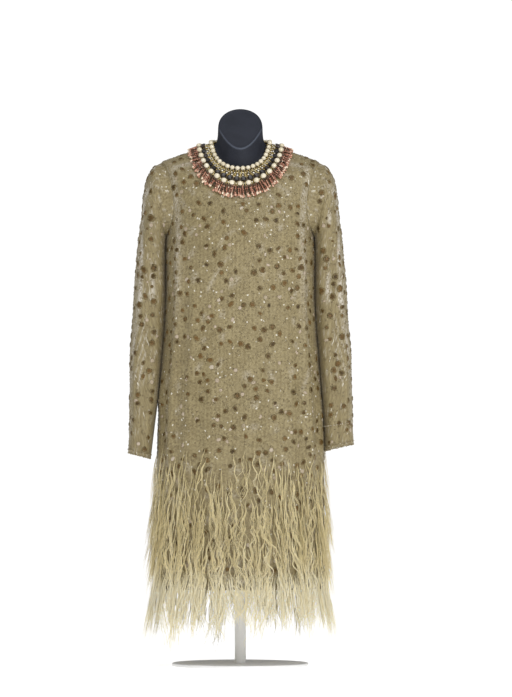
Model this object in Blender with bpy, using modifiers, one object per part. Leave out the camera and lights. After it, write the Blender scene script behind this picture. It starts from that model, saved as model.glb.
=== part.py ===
# Cocktail dress with long set-in sleeves, a beaded collar and four tiers of feather fringe,
# worn by a limbless dress form on a low stand.
# Metres, +Z up. The front faces -Y and +X is the wearer's left.
# The origin is the centre of the base's underside.
# Angles run round the body: 0 at the wearer's left, -90 at the front, 90 at the back.
import math
import random
from collections import namedtuple

import bmesh
import bpy
from mathutils import Vector

# Cloth and seams
CLOTH = 0.0020
SEAM_GAP = 0.0003
ON_CLOTH = 0.0006

# Levels of the dress, measured up its side
HEM = 0.172
FORM_FOOT = 0.476
UNDERARM = 0.950
SHOULDER_TIP = 1.108
NECKLINE = 1.148

# How finely the walls are divided
PANEL_COLUMNS = 20
ARMHOLE_STEPS = 8
ARMHOLE_HALF_ANGLE = math.radians(31)

# Sections of the dress. A section's height falls by front_drop at the centre front
# and rises by back_rise at the centre back. Square is 2 for an ellipse and more for fuller corners.
# Scoop is 2 for a drop like a V and less for one like a U.
Ring = namedtuple("Ring", "level half_width front back front_drop back_rise square scoop")
BODY = [
    Ring(HEM, 0.184, 0.131, 0.124, 0.000, 0.000, 2.25, 2.00),
    Ring(0.320, 0.184, 0.129, 0.123, 0.000, 0.000, 2.25, 2.00),
    Ring(FORM_FOOT, 0.183, 0.131, 0.126, 0.000, 0.000, 2.30, 2.00),
    Ring(0.560, 0.180, 0.127, 0.123, 0.000, 0.000, 2.30, 2.00),
    Ring(0.640, 0.174, 0.121, 0.117, 0.000, 0.000, 2.30, 2.00),
    Ring(0.740, 0.165, 0.118, 0.110, 0.000, 0.000, 2.30, 2.00),
    Ring(0.830, 0.161, 0.122, 0.108, 0.000, 0.000, 2.30, 2.00),
    Ring(0.915, 0.160, 0.129, 0.108, 0.000, 0.000, 2.30, 2.00),
    Ring(UNDERARM, 0.160, 0.127, 0.107, 0.000, 0.000, 2.35, 2.00),
    Ring(0.990, 0.162, 0.120, 0.106, 0.004, 0.000, 2.40, 2.00),
    Ring(1.030, 0.166, 0.109, 0.1045, 0.014, -0.004, 2.45, 2.00),
    Ring(1.070, 0.170, 0.094, 0.1005, 0.029, -0.008, 2.50, 2.00),
    Ring(SHOULDER_TIP, 0.173, 0.081, 0.0905, 0.045, -0.010, 2.50, 2.00),
    Ring(1.118, 0.150, 0.075, 0.084, 0.0460, -0.004, 2.40, 1.60),
    Ring(1.128, 0.122, 0.070, 0.076, 0.0480, 0.000, 2.30, 1.20),
    Ring(1.138, 0.088, 0.063, 0.065, 0.0515, 0.004, 2.20, 0.80),
    Ring(NECKLINE, 0.059, 0.056, 0.054, 0.0570, 0.006, 2.10, 0.50),
]
RIDGE_ROUNDING = 0.2
LOWER_LEVELS = [HEM, 0.320, FORM_FOOT, 0.600, 0.740, 0.830, 0.895]
SHOULDER_LEVELS = [1.113, 1.118, 1.128, 1.138, NECKLINE]

# Soft upright folds of the dress, from the hem up to top: each stands out by depth
# and dies away over width degrees to either side
Fold = namedtuple("Fold", "angle width depth top")
FOLDS = [
    Fold(-18.0, 5.0, 0.0040, 0.640),
    Fold(-36.0, 5.0, 0.0075, 0.990),
    Fold(-54.0, 5.0, 0.0040, 0.900),
    Fold(-72.0, 6.0, 0.0050, 0.720),
    Fold(-108.0, 6.0, 0.0050, 0.690),
    Fold(-126.0, 5.0, 0.0040, 0.880),
    Fold(-144.0, 5.0, 0.0080, 0.980),
    Fold(-162.0, 5.0, 0.0040, 0.700),
    Fold(36.0, 5.0, 0.0065, 0.940),
    Fold(63.0, 5.0, 0.0050, 0.830),
    Fold(117.0, 5.0, 0.0055, 0.860),
    Fold(144.0, 5.0, 0.0065, 0.950),
]
FOLD_FADE = 0.120

# Sections of a sleeve below its armhole: the outer line runs down from the shoulder,
# the inner line from the underarm, and each section is an oval between them
Cuff = namedtuple("Cuff", "outer_x outer_z inner_x inner_z half_depth centre_y")
SLEEVE_HEAD = [
    Cuff(0.1900, 1.098, 0.1615, 0.938, 0.0580, -0.001),
    Cuff(0.2020, 1.081, 0.1625, 0.924, 0.0590, -0.002),
    Cuff(0.2095, 1.057, 0.1630, 0.908, 0.0590, -0.003),
    Cuff(0.2140, 1.028, 0.1630, 0.888, 0.0580, -0.004),
    Cuff(0.2190, 0.982, 0.1630, 0.864, 0.0560, -0.005),
    Cuff(0.2250, 0.925, 0.1625, 0.834, 0.0540, -0.007),
    Cuff(0.2315, 0.855, 0.1638, 0.795, 0.0510, -0.009),
    Cuff(0.2370, 0.775, 0.1664, 0.740, 0.0480, -0.012),
]
LEFT_SLEEVE = SLEEVE_HEAD + [
    Cuff(0.2425, 0.696, 0.1718, 0.680, 0.0450, -0.016),
    Cuff(0.2450, 0.620, 0.1778, 0.608, 0.0420, -0.021),
    Cuff(0.2470, 0.550, 0.1822, 0.541, 0.0390, -0.026),
    Cuff(0.2490, 0.491, 0.1848, 0.476, 0.0370, -0.030),
]
RIGHT_SLEEVE = SLEEVE_HEAD + [
    Cuff(0.2420, 0.690, 0.1722, 0.676, 0.0450, -0.017),
    Cuff(0.2430, 0.610, 0.1790, 0.598, 0.0430, -0.023),
    Cuff(0.2440, 0.535, 0.1880, 0.525, 0.0410, -0.029),
    Cuff(0.2460, 0.472, 0.1960, 0.459, 0.0400, -0.034),
]

# Lengthwise folds of a sleeve: 0 at its outer line, 90 at its front, 180 at its inner line
SleeveFold = namedtuple("SleeveFold", "angle width depth first last")
SLEEVE_FOLDS = [
    SleeveFold(54.0, 15.0, 0.0030, 4, 11),
    SleeveFold(90.0, 14.0, -0.0035, 3, 12),
    SleeveFold(126.0, 15.0, 0.0025, 4, 12),
    SleeveFold(234.0, 15.0, 0.0025, 3, 12),
    SleeveFold(270.0, 14.0, -0.0035, 2, 11),
    SleeveFold(306.0, 15.0, 0.0030, 3, 10),
]

# Beaded collar. Across runs from the neckline, 0, to the outer edge, 1, and heights are above the cloth:
# crest on a bead and valley between two
COLLAR_UNITS = 34
COLUMNS_PER_UNIT = 3
COLLAR_CENTRE = Vector((0.0, -0.001, 1.121))
COLLAR_LEAN = math.radians(24.4)
COLLAR_WIDTH_SIDE = 0.059
COLLAR_WIDTH_FRONT = 0.081
COLLAR_WIDTH_BACK = 0.072
COLLAR_DROP_OVERHANG = 0.05
COLLAR_LIFT = 0.0014
COLLAR_LINE_STEPS = 16
COLLAR_LINE_DROP = 0.130
CollarRow = namedtuple("CollarRow", "across valley crest")
COLLAR_ROWS = [
    CollarRow(0.00, 0.0030, 0.0030),
    CollarRow(0.04, 0.0060, 0.0100),
    CollarRow(0.13, 0.0060, 0.0100),
    CollarRow(0.18, 0.0030, 0.0035),
    CollarRow(0.40, 0.0040, 0.0060),
    CollarRow(0.47, 0.0030, 0.0040),
    CollarRow(0.51, 0.0060, 0.0120),
    CollarRow(0.62, 0.0060, 0.0120),
    CollarRow(0.67, 0.0030, 0.0035),
    CollarRow(1.00, 0.0020, 0.0050),
]
COLLAR_UNDERSIDE = [1.00, 0.86, 0.72, 0.58, 0.44, 0.30, 0.16, 0.00]

# Closed zip down the centre back
ZIP_TOP = 1.072
ZIP_FOOT = 0.700
ZIP_HALF_WIDTH = 0.0035
ZIP_THICKNESS = 0.0014

# Feather fringe: each tier is a strip sewn round the skirt with locks hanging from it
Tier = namedtuple("Tier", "level shortest longest")
TIERS = [
    Tier(0.462, 0.090, 0.135),
    Tier(0.378, 0.120, 0.150),
    Tier(0.294, 0.120, 0.150),
    Tier(0.208, 0.135, 0.180),
]
STRIP_HEIGHT = 0.006
STRIP_THICKNESS = 0.0022
LOCK_FLARE = 0.15
LOCK_WIDEST = 0.5
LOCK_HALF_WIDTH = 0.0080
LOCK_HALF_THICKNESS = 0.0020
LOCK_SWAY = math.radians(1.6)
FRINGE_SEED = 11

# Dress form: how far it lies inside the dress's outer face, then its neck
Inset = namedtuple("Inset", "level side front back")
FORM = [
    Inset(FORM_FOOT, 0.0110, 0.0110, 0.0100),
    Inset(0.484, 0.0070, 0.0070, 0.0065),
    Inset(0.560, 0.0070, 0.0070, 0.0070),
    Inset(0.640, 0.0180, 0.0130, 0.0100),
    Inset(0.700, 0.0290, 0.0210, 0.0150),
    Inset(0.760, 0.0340, 0.0270, 0.0180),
    Inset(0.830, 0.0200, 0.0150, 0.0120),
    Inset(0.880, 0.0070, 0.0060, 0.0060),
    Inset(0.915, 0.0040, 0.0040, 0.0045),
    Inset(UNDERARM, 0.0040, 0.0042, 0.0045),
    Inset(0.990, 0.0040, 0.0040, 0.0040),
    Inset(1.030, 0.0040, 0.0040, 0.0040),
    Inset(1.070, 0.0037, 0.0037, 0.0037),
    Inset(1.095, 0.0035, 0.0035, 0.0036),
    Inset(SHOULDER_TIP, 0.0032, 0.0032, 0.0035),
    Inset(1.118, 0.0030, 0.0030, 0.0032),
    Inset(1.128, 0.0029, 0.0029, 0.0030),
    Inset(1.138, 0.0028, 0.0028, 0.0028),
    Inset(NECKLINE, 0.0034, 0.0034, 0.0034),
]
FORM_COLUMNS = 28
NeckRing = namedtuple("NeckRing", "rise half_width front back")
NECK = [
    NeckRing(0.18, 0.0530, 0.0512, 0.0478),
    NeckRing(0.42, 0.0505, 0.0505, 0.0465),
    NeckRing(0.70, 0.0495, 0.0500, 0.0460),
    NeckRing(1.00, 0.0490, 0.0495, 0.0455),
]
NECK_CUT_HEIGHT = 1.182
NECK_CUT_SLOPE = 0.97
CapRing = namedtuple("CapRing", "share lift")
NECK_CAP = [CapRing(0.95, 0.0030), CapRing(0.86, 0.0040), CapRing(0.45, 0.0045)]

# Stand
BASE_RADIUS = 0.150
BASE_HEIGHT = 0.008
BASE_BEVEL = 0.002
POLE_RADIUS = 0.0125
SOCKET_RADIUS = 0.024
SOCKET_HEIGHT = 0.030
BASE_SIDES = 40
POLE_SIDES = 20


def slopes_of(levels, values):
    """Slope at each row of a table column, level at its turning points so that nothing overshoots."""
    steps = [
        (values[i + 1] - values[i]) / (levels[i + 1] - levels[i])
        for i in range(len(levels) - 1)
    ]
    slopes = [steps[0]]
    for before, after in zip(steps, steps[1:]):
        slopes.append(0.0 if before * after <= 0 else 2 * before * after / (before + after))
    slopes.append(steps[-1])
    return slopes


def column_reader(rows, column):
    """A function that reads one column of a table of rows smoothly at any level."""
    levels = [row.level for row in rows]
    values = [getattr(row, column) for row in rows]
    slopes = slopes_of(levels, values)

    def read(level):
        level = min(max(level, levels[0]), levels[-1])
        i = 0
        while i < len(levels) - 2 and level > levels[i + 1]:
            i += 1
        span = levels[i + 1] - levels[i]
        t = (level - levels[i]) / span
        near = (1 + 2 * t) * (1 - t) ** 2
        far = t * t * (3 - 2 * t)
        leave = t * (1 - t) ** 2 * span
        arrive = t * t * (t - 1) * span
        return near * values[i] + far * values[i + 1] + leave * slopes[i] + arrive * slopes[i + 1]

    return read


BODY_READERS = {name: column_reader(BODY, name) for name in Ring._fields[1:]}
FORM_READERS = {name: column_reader(FORM, name) for name in Inset._fields[1:]}


def ease(share):
    """0 below 0, 1 above 1, and smooth between."""
    share = min(max(share, 0.0), 1.0)
    return share * share * (3 - 2 * share)


def signed_power(value, power):
    return math.copysign(abs(value) ** power, value)


def turn_between(a, b):
    """Angle from b to a, in degrees, the short way round."""
    return (a - b + 180.0) % 360.0 - 180.0


def fold_height(level, angle):
    """How far the folds lift the cloth at this level and angle."""
    height = 0.0
    for fold in FOLDS:
        away = turn_between(math.degrees(angle), fold.angle) / fold.width
        height += fold.depth * math.exp(-away * away) * ease((fold.top - level) / FOLD_FADE)
    return height


def drop_share(along, scoop):
    """Share of the front drop at this sine of the angle: 0 at the side, 1 in front, rounded between."""
    start = RIDGE_ROUNDING ** scoop
    end = (1 + RIDGE_ROUNDING ** 2) ** (scoop / 2)
    return ((along * along + RIDGE_ROUNDING ** 2) ** (scoop / 2) - start) / (end - start)


def smooth_point(level, angle, folded=True):
    """A point of the dress's outer face. Below the hem the hem's section carries on downwards."""
    size = {name: read(level) for name, read in BODY_READERS.items()}
    power = 2 / size["square"]
    across, along = math.cos(angle), math.sin(angle)
    depth = size["front"] if along < 0 else size["back"]
    if along < 0:
        rise = -size["front_drop"] * drop_share(along, size["scoop"])
    else:
        rise = size["back_rise"] * along * along
    point = Vector((
        size["half_width"] * signed_power(across, power),
        depth * signed_power(along, power),
        level + rise,
    ))
    if folded:
        outward = Vector((across / size["half_width"], along / depth, 0.0)).normalized()
        point += outward * fold_height(max(level, HEM), angle)
    return point


def body_point(level, angle, out=0.0, folded=True):
    """The smooth face moved out along its normal, which is the cross of its two tangents."""
    small_angle, small_rise = 0.004, 0.0006
    low = min(level, NECKLINE - small_rise)
    point = smooth_point(level, angle, folded)
    around = smooth_point(low, angle + small_angle, folded) - smooth_point(low, angle - small_angle, folded)
    above = smooth_point(low + small_rise, angle, folded)
    upward = above - smooth_point(low - small_rise, angle, folded)
    return point + around.cross(upward).normalized() * out


def armhole_half_angle(level):
    """Half the angle that the armhole takes from the side of the dress at this level: an oval."""
    middle = (UNDERARM + SHOULDER_TIP) / 2
    share = (level - middle) / (SHOULDER_TIP - middle)
    return ARMHOLE_HALF_ANGLE * math.sqrt(max(0.0, 1 - share * share))


def armhole_levels():
    """Levels round the armhole, closer together at its foot and its top, as equal turns round an oval are."""
    middle = (UNDERARM + SHOULDER_TIP) / 2
    half = (SHOULDER_TIP - UNDERARM) / 2
    return [middle - half * math.cos(math.pi * i / ARMHOLE_STEPS) for i in range(ARMHOLE_STEPS + 1)]


PANEL_LEVELS = LOWER_LEVELS + armhole_levels() + SHOULDER_LEVELS


def shorter_diagonal(a, b, c, d):
    """Whether a facet's diagonal from a to c is shorter than that from b to d."""
    return (a - c).length < (b - d).length


def faceted_point(level, angle, out):
    """A point out from the flat facets of the front or back wall, for what lies on the cloth."""
    level_inside = min(max(level, PANEL_LEVELS[0]), PANEL_LEVELS[-1])
    row = 0
    while row < len(PANEL_LEVELS) - 2 and level_inside > PANEL_LEVELS[row + 1]:
        row += 1
    low, high = PANEL_LEVELS[row], PANEL_LEVELS[row + 1]
    up = (level_inside - low) / (high - low)
    turned = math.atan2(math.sin(angle), math.cos(angle))
    side = -1 if turned < 0 else 1
    armhole = armhole_half_angle(level_inside)
    column = (abs(turned) - armhole) / (math.pi - 2 * armhole) * PANEL_COLUMNS
    column = min(max(column, 0.0), PANEL_COLUMNS - 1e-6)
    first = int(column)
    over = column - first
    places = []
    for at_level, at_column in ((low, first), (low, first + 1), (high, first + 1), (high, first)):
        hole = armhole_half_angle(at_level)
        places.append((at_level, side * (hole + at_column / PANEL_COLUMNS * (math.pi - 2 * hole))))
    a, b, c, d = [body_point(*place, out) for place in places]
    if shorter_diagonal(*[smooth_point(*place) for place in places]):
        point = a + over * (b - a) + up * (c - b) if up < over else a + up * (d - a) + over * (c - d)
    elif over + up < 1:
        point = a + over * (b - a) + up * (d - a)
    else:
        point = c + (1 - over) * (d - c) + (1 - up) * (b - c)
    point.z += level - level_inside
    return point


def new_material(name, colour, roughness):
    material = bpy.data.materials.new(name)
    material.use_nodes = True
    shader = material.node_tree.nodes["Principled BSDF"]
    shader.inputs["Base Color"].default_value = (*colour, 1.0)
    shader.inputs["Roughness"].default_value = roughness
    material.diffuse_color = (*colour, 1.0)
    return material


def finish_mesh(name, mesh, collection, material):
    """Turns a bmesh into an object with outward faces, shaded smooth."""
    bmesh.ops.recalc_face_normals(mesh, faces=mesh.faces)
    data = bpy.data.meshes.new(name)
    mesh.to_mesh(data)
    mesh.free()
    data.shade_smooth()
    data.set_sharp_from_angle(angle=math.radians(40))
    data.materials.append(material)
    piece = bpy.data.objects.new(name, data)
    collection.objects.link(piece)
    return piece


def wall(name, outer, inner, collection, material, ring=False):
    """A closed wall between two grids of points of the same size; ring joins each row's end to its start.
    Each facet is split along its shorter diagonal, the same way on both faces."""
    mesh = bmesh.new()
    front, back = [[[mesh.verts.new(point) for point in row] for row in grid] for grid in (outer, inner)]
    rows, columns = len(outer), len(outer[0])
    steps = columns if ring else columns - 1
    for i in range(rows - 1):
        for j in range(steps):
            k = (j + 1) % columns
            rising = shorter_diagonal(outer[i][j], outer[i][k], outer[i + 1][k], outer[i + 1][j])
            for grid in (front, back):
                a, b, c, d = grid[i][j], grid[i][k], grid[i + 1][k], grid[i + 1][j]
                for corners in ((a, b, c), (a, c, d)) if rising else ((a, b, d), (b, c, d)):
                    mesh.faces.new(corners)
    for i in (0, rows - 1):
        for j in range(steps):
            k = (j + 1) % columns
            mesh.faces.new((front[i][j], front[i][k], back[i][k], back[i][j]))
    if not ring:
        for j in (0, columns - 1):
            for i in range(rows - 1):
                mesh.faces.new((front[i][j], front[i + 1][j], back[i + 1][j], back[i][j]))
    return finish_mesh(name, mesh, collection, material)


def tube(name, sections, collection, material):
    """A closed solid through sections of equal length, with a cap on each end."""
    mesh = bmesh.new()
    loops = [[mesh.verts.new(point) for point in section] for section in sections]
    count = len(loops[0])
    for one, two in zip(loops, loops[1:]):
        for i in range(count):
            k = (i + 1) % count
            mesh.faces.new((one[i], one[k], two[k], two[i]))
    mesh.faces.new(loops[0])
    mesh.faces.new(loops[-1])
    return finish_mesh(name, mesh, collection, material)


def panel_grid(side, start, end, columns, out):
    """Points of a front (side -1) or back (side 1) panel, from start to end as shares of the way
    from the wearer's left to the right, with half a seam's gap taken off both upright edges."""
    grid = []
    for level in PANEL_LEVELS:
        hole = armhole_half_angle(level)
        width = math.pi - 2 * hole
        reach = BODY_READERS["half_width"](level)
        trim = SEAM_GAP / 2 / reach / width
        row = []
        for column in range(columns + 1):
            share = start + (end - start) * column / columns
            share += trim if column == 0 else 0
            share -= trim if column == columns else 0
            row.append(body_point(level, side * (hole + share * width), out))
        grid.append(row)
    return grid


def panel(name, side, start, end, columns, collection, material):
    outer = panel_grid(side, start, end, columns, 0.0)
    inner = panel_grid(side, start, end, columns, -CLOTH)
    return wall(name, outer, inner, collection, material)


def armhole_point(turn):
    """A point of the left armhole's edge: turn is 0 at the shoulder tip, 90 degrees at the front."""
    middle = (UNDERARM + SHOULDER_TIP) / 2
    level = middle + (SHOULDER_TIP - middle) * math.cos(turn)
    side = -1 if math.sin(turn) > 0 else 1
    return smooth_point(level, side * armhole_half_angle(level))


def sleeve_fold_height(turn, station):
    height = 0.0
    for fold in SLEEVE_FOLDS:
        away = turn_between(math.degrees(turn), fold.angle) / fold.width
        strength = ease((station - fold.first) / 2) * ease((fold.last + 1 - station) / 2)
        height += fold.depth * math.exp(-away * away) * strength
    return height


def sleeve_section(stations, station, turn):
    """A point of the left sleeve's outer face at a whole station: 0 is the armhole."""
    if station == 0:
        return armhole_point(turn) + Vector((SEAM_GAP, 0.0, 0.0))
    row = stations[station - 1]
    outer = Vector((row.outer_x, row.centre_y, row.outer_z))
    inner = Vector((row.inner_x, row.centre_y, row.inner_z))
    middle = (outer + inner) / 2
    point = middle + (outer - middle) * math.cos(turn) - Vector((0.0, row.half_depth * math.sin(turn), 0.0))
    return point + (point - middle).normalized() * sleeve_fold_height(turn, station)


def sleeve_point(stations, station, turn, out):
    """The outer face moved out along its normal, from its neighbours along and round the sleeve."""
    small_turn = 0.05
    above, below = max(station - 1, 0), min(station + 1, len(stations))
    point = sleeve_section(stations, station, turn)
    along = sleeve_section(stations, below, turn) - sleeve_section(stations, above, turn)
    ahead = sleeve_section(stations, station, turn + small_turn)
    around = ahead - sleeve_section(stations, station, turn - small_turn)
    return point + around.cross(along).normalized() * out


def sleeve(name, stations, hand, collection, material):
    """A set-in sleeve as a tube wall. Hand is 1 for the wearer's left and -1 for the right."""
    columns = 2 * ARMHOLE_STEPS
    walls = []
    for out in (0.0, -CLOTH):
        grid = []
        for station in range(len(stations) + 1):
            row = []
            for column in range(columns):
                point = sleeve_point(stations, station, 2 * math.pi * column / columns, out)
                point.x *= hand
                row.append(point)
            grid.append(row)
        walls.append(grid)
    return wall(name, walls[0], walls[1], collection, material, ring=True)


def collar_angle(level, bearing):
    """Angle round the dress at which a level is met by the half-plane that stands at this bearing
    on the collar's leaning axis."""
    if math.cos(bearing) < 0:
        return math.pi - collar_angle(level, math.pi - bearing)
    bearing = math.atan2(math.sin(bearing), math.cos(bearing))
    low, high = -math.pi / 2, math.pi / 2
    for _ in range(18):
        angle = (low + high) / 2
        away = smooth_point(level, angle) - COLLAR_CENTRE
        rise = away.y * math.cos(COLLAR_LEAN) + away.z * math.sin(COLLAR_LEAN)
        if math.atan2(rise, away.x) < bearing:
            low = angle
        else:
            high = angle
    return angle


def collar_line(bearing):
    """The collar's line down the dress at this bearing: distance from the neckline, level and angle."""
    line = []
    travelled, before = 0.0, None
    for step in range(COLLAR_LINE_STEPS + 1):
        level = NECKLINE - COLLAR_LINE_DROP * (step / COLLAR_LINE_STEPS) ** 1.5
        angle = collar_angle(level, bearing)
        point = smooth_point(level, angle)
        travelled += (point - before).length if before else 0.0
        line.append((travelled, level, angle))
        before = point
    return line


def along_line(line, distance):
    """Level and angle at a distance down the collar's line."""
    for near, far in zip(line, line[1:]):
        if distance <= far[0]:
            break
    share = (distance - near[0]) / (far[0] - near[0])
    turn = math.remainder(far[2] - near[2], 2 * math.pi)
    return near[1] + share * (far[1] - near[1]), near[2] + share * turn


def collar(collection, material):
    """A ring open at the centre back, plain beneath, with its beads and drops raised on top."""
    columns = COLLAR_UNITS * COLUMNS_PER_UNIT
    half_gap = SEAM_GAP / BODY_READERS["back"](NECKLINE)
    sections = []
    for column in range(columns + 1):
        bearing = math.pi / 2 + half_gap + (2 * math.pi - 2 * half_gap) * column / columns
        along = math.sin(bearing)
        end_width = COLLAR_WIDTH_FRONT if along < 0 else COLLAR_WIDTH_BACK
        width = COLLAR_WIDTH_SIDE + (end_width - COLLAR_WIDTH_SIDE) * along * along
        line = collar_line(bearing)
        on_crest = column % COLUMNS_PER_UNIT != 0
        overhang = COLLAR_DROP_OVERHANG if on_crest else 0.0
        section = []
        for row in COLLAR_ROWS:
            level, angle = along_line(line, width * (row.across + (overhang if row.across == 1 else 0)))
            section.append(faceted_point(level, angle, COLLAR_LIFT + (row.crest if on_crest else row.valley)))
        for across in COLLAR_UNDERSIDE:
            level, angle = along_line(line, width * (across + (overhang if across == 1 else 0)))
            section.append(faceted_point(level, angle, COLLAR_LIFT))
        sections.append(section)
    return tube("collar", sections, collection, material)


def back_zip(collection, material):
    """A closed zip lying over the centre back seam, ending just below the collar."""
    levels = [ZIP_FOOT] + [level for level in PANEL_LEVELS if ZIP_FOOT < level < ZIP_TOP] + [ZIP_TOP]
    sections = []
    for level in levels:
        turn = ZIP_HALF_WIDTH / BODY_READERS["half_width"](level)
        top_face = ON_CLOTH + ZIP_THICKNESS
        corners = ((turn, ON_CLOTH), (-turn, ON_CLOTH), (-turn, top_face), (turn, top_face))
        sections.append([faceted_point(level, math.pi / 2 + side, out) for side, out in corners])
    return tube("back_zip", sections, collection, material)


def lock_out(down):
    """How far a lock's middle stands off the cloth at a distance down from its strip."""
    return ON_CLOTH + STRIP_THICKNESS + LOCK_FLARE * down


def lock_section(level, angle, out):
    """Four corners of a lock: inner pair then outer pair, in the order of the strip's corners."""
    turn = LOCK_HALF_WIDTH / BODY_READERS["half_width"](HEM)
    corners = ((-turn, -1), (turn, -1), (turn, 1), (-turn, 1))
    return [faceted_point(level, angle + side, out + face * LOCK_HALF_THICKNESS) for side, face in corners]


def fringe_tier(number, tier, chance, collection, material):
    """A wedge-shaped strip round the skirt. A tapering lock grows from the foot of every second facet."""
    facets = 4 * PANEL_COLUMNS
    mesh = bmesh.new()
    strip = []
    for i in range(facets):
        angle = 2 * math.pi * i / facets
        strip.append([
            mesh.verts.new(faceted_point(tier.level + STRIP_HEIGHT, angle, ON_CLOTH)),
            mesh.verts.new(faceted_point(tier.level, angle, ON_CLOTH)),
            mesh.verts.new(faceted_point(tier.level, angle, ON_CLOTH + STRIP_THICKNESS)),
        ])
    for i in range(facets):
        here, there = strip[i], strip[(i + 1) % facets]
        mesh.faces.new((here[0], there[0], there[1], here[1]))
        mesh.faces.new((here[0], there[0], there[2], here[2]))
        if i % 2:
            mesh.faces.new((here[1], there[1], there[2], here[2]))
            continue
        length = chance.uniform(tier.shortest, tier.longest)
        sway = chance.uniform(-LOCK_SWAY, LOCK_SWAY)
        loop = [here[1], there[1], there[2], here[2]]
        middle = 2 * math.pi * (i + 0.5) / facets
        down = LOCK_WIDEST * length
        corners = lock_section(tier.level - down, middle + LOCK_WIDEST * sway, lock_out(down))
        waist = [mesh.verts.new(corner) for corner in corners]
        tip = mesh.verts.new(faceted_point(tier.level - length, middle + sway, lock_out(length)))
        for k in range(4):
            n = (k + 1) % 4
            mesh.faces.new((loop[k], loop[n], waist[n], waist[k]))
            mesh.faces.new((waist[k], waist[n], tip))
    return finish_mesh(f"fringe_tier_{number}", mesh, collection, material)


def form_point(level, angle):
    """A point of the dress form, inside the dress by the inset of its table."""
    along = math.sin(angle)
    facing = FORM_READERS["front" if along < 0 else "back"](level)
    side = FORM_READERS["side"](level)
    inset = side + (facing - side) * along * along
    return body_point(level, angle, -inset, folded=False)


def neck_point(row, angle, base):
    """A point of the neck: rise 0 lies on the form's neckline and rise 1 on the slanting cut."""
    across, along = math.cos(angle), math.sin(angle)
    y = along * (row.front if along < 0 else row.back)
    cut = NECK_CUT_HEIGHT + NECK_CUT_SLOPE * y
    return Vector((row.half_width * across, y, base.z + (cut - base.z) * row.rise))


def dress_form(collection, material):
    """Torso and neck in one smooth solid, flat at its foot and cut on a slant at the neck."""
    angles = [2 * math.pi * i / FORM_COLUMNS for i in range(FORM_COLUMNS)]
    sections = [[form_point(row.level, angle) for angle in angles] for row in FORM]
    collar_line = sections[-1]
    sections += [[neck_point(row, a, base) for a, base in zip(angles, collar_line)] for row in NECK]
    rim = sections[-1]
    middle = sum(rim, Vector()) / len(rim)
    cut_normal = Vector((0.0, -NECK_CUT_SLOPE, 1.0)).normalized()
    for cap in NECK_CAP:
        sections.append([middle + (point - middle) * cap.share + cut_normal * cap.lift for point in rim])
    return tube("dress_form", sections, collection, material)


def turned_piece(name, radius, foot, top, sides, collection, material):
    """An upright round bar or plate."""
    mesh = bmesh.new()
    bmesh.ops.create_cone(
        mesh, cap_ends=True, segments=sides, radius1=radius, radius2=radius, depth=top - foot
    )
    bmesh.ops.translate(mesh, verts=mesh.verts, vec=(0.0, 0.0, (foot + top) / 2))
    return finish_mesh(name, mesh, collection, material)


def stand(collection, material):
    """Round base plate with a rounded edge, a pole and a socket, each just clear of the next."""
    pole_foot = BASE_HEIGHT + SEAM_GAP
    pole_top = FORM_FOOT - SOCKET_HEIGHT - 2 * SEAM_GAP
    plate = turned_piece("stand_base", BASE_RADIUS, 0.0, BASE_HEIGHT, BASE_SIDES, collection, material)
    rounding = plate.modifiers.new("rounded_edge", "BEVEL")
    rounding.width = BASE_BEVEL
    rounding.segments = 2
    rounding.limit_method = "ANGLE"
    turned_piece("stand_pole", POLE_RADIUS, pole_foot, pole_top, POLE_SIDES, collection, material)
    socket_foot, socket_top = pole_top + SEAM_GAP, FORM_FOOT - SEAM_GAP
    turned_piece("stand_socket", SOCKET_RADIUS, socket_foot, socket_top, POLE_SIDES, collection, material)


def main():
    for stray in list(bpy.data.objects):
        bpy.data.objects.remove(stray)
    collection = bpy.data.collections.new("cocktail_dress")
    bpy.context.scene.collection.children.link(collection)

    beaded_cloth = new_material("beaded_cloth", (0.305, 0.254, 0.150), 0.55)
    feather = new_material("feather", (0.610, 0.510, 0.300), 0.80)
    beads = new_material("collar_beads", (0.520, 0.260, 0.170), 0.30)
    zip_tape = new_material("zip_tape", (0.200, 0.170, 0.110), 0.60)
    dark_jersey = new_material("dark_jersey", (0.028, 0.031, 0.045), 0.60)
    white_enamel = new_material("white_enamel", (0.800, 0.800, 0.790), 0.35)

    panel("front", -1, 0.0, 1.0, PANEL_COLUMNS, collection, beaded_cloth)
    panel("back_left", 1, 0.0, 0.5, PANEL_COLUMNS // 2, collection, beaded_cloth)
    panel("back_right", 1, 0.5, 1.0, PANEL_COLUMNS // 2, collection, beaded_cloth)
    sleeve("sleeve_left", LEFT_SLEEVE, 1, collection, beaded_cloth)
    sleeve("sleeve_right", RIGHT_SLEEVE, -1, collection, beaded_cloth)
    collar(collection, beads)
    back_zip(collection, zip_tape)
    chance = random.Random(FRINGE_SEED)
    for number, tier in enumerate(TIERS, start=1):
        fringe_tier(number, tier, chance, collection, feather)

    dress_form(collection, dark_jersey)
    stand(collection, white_enamel)


main()
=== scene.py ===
# Beaded cocktail dress with a pearl collar and feather fringe, on a limbless dress form
# Metres, front towards -Y, +X the wearer's left, angles round the body 0 at +X and -90 at the front
import math
from functools import partial

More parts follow.
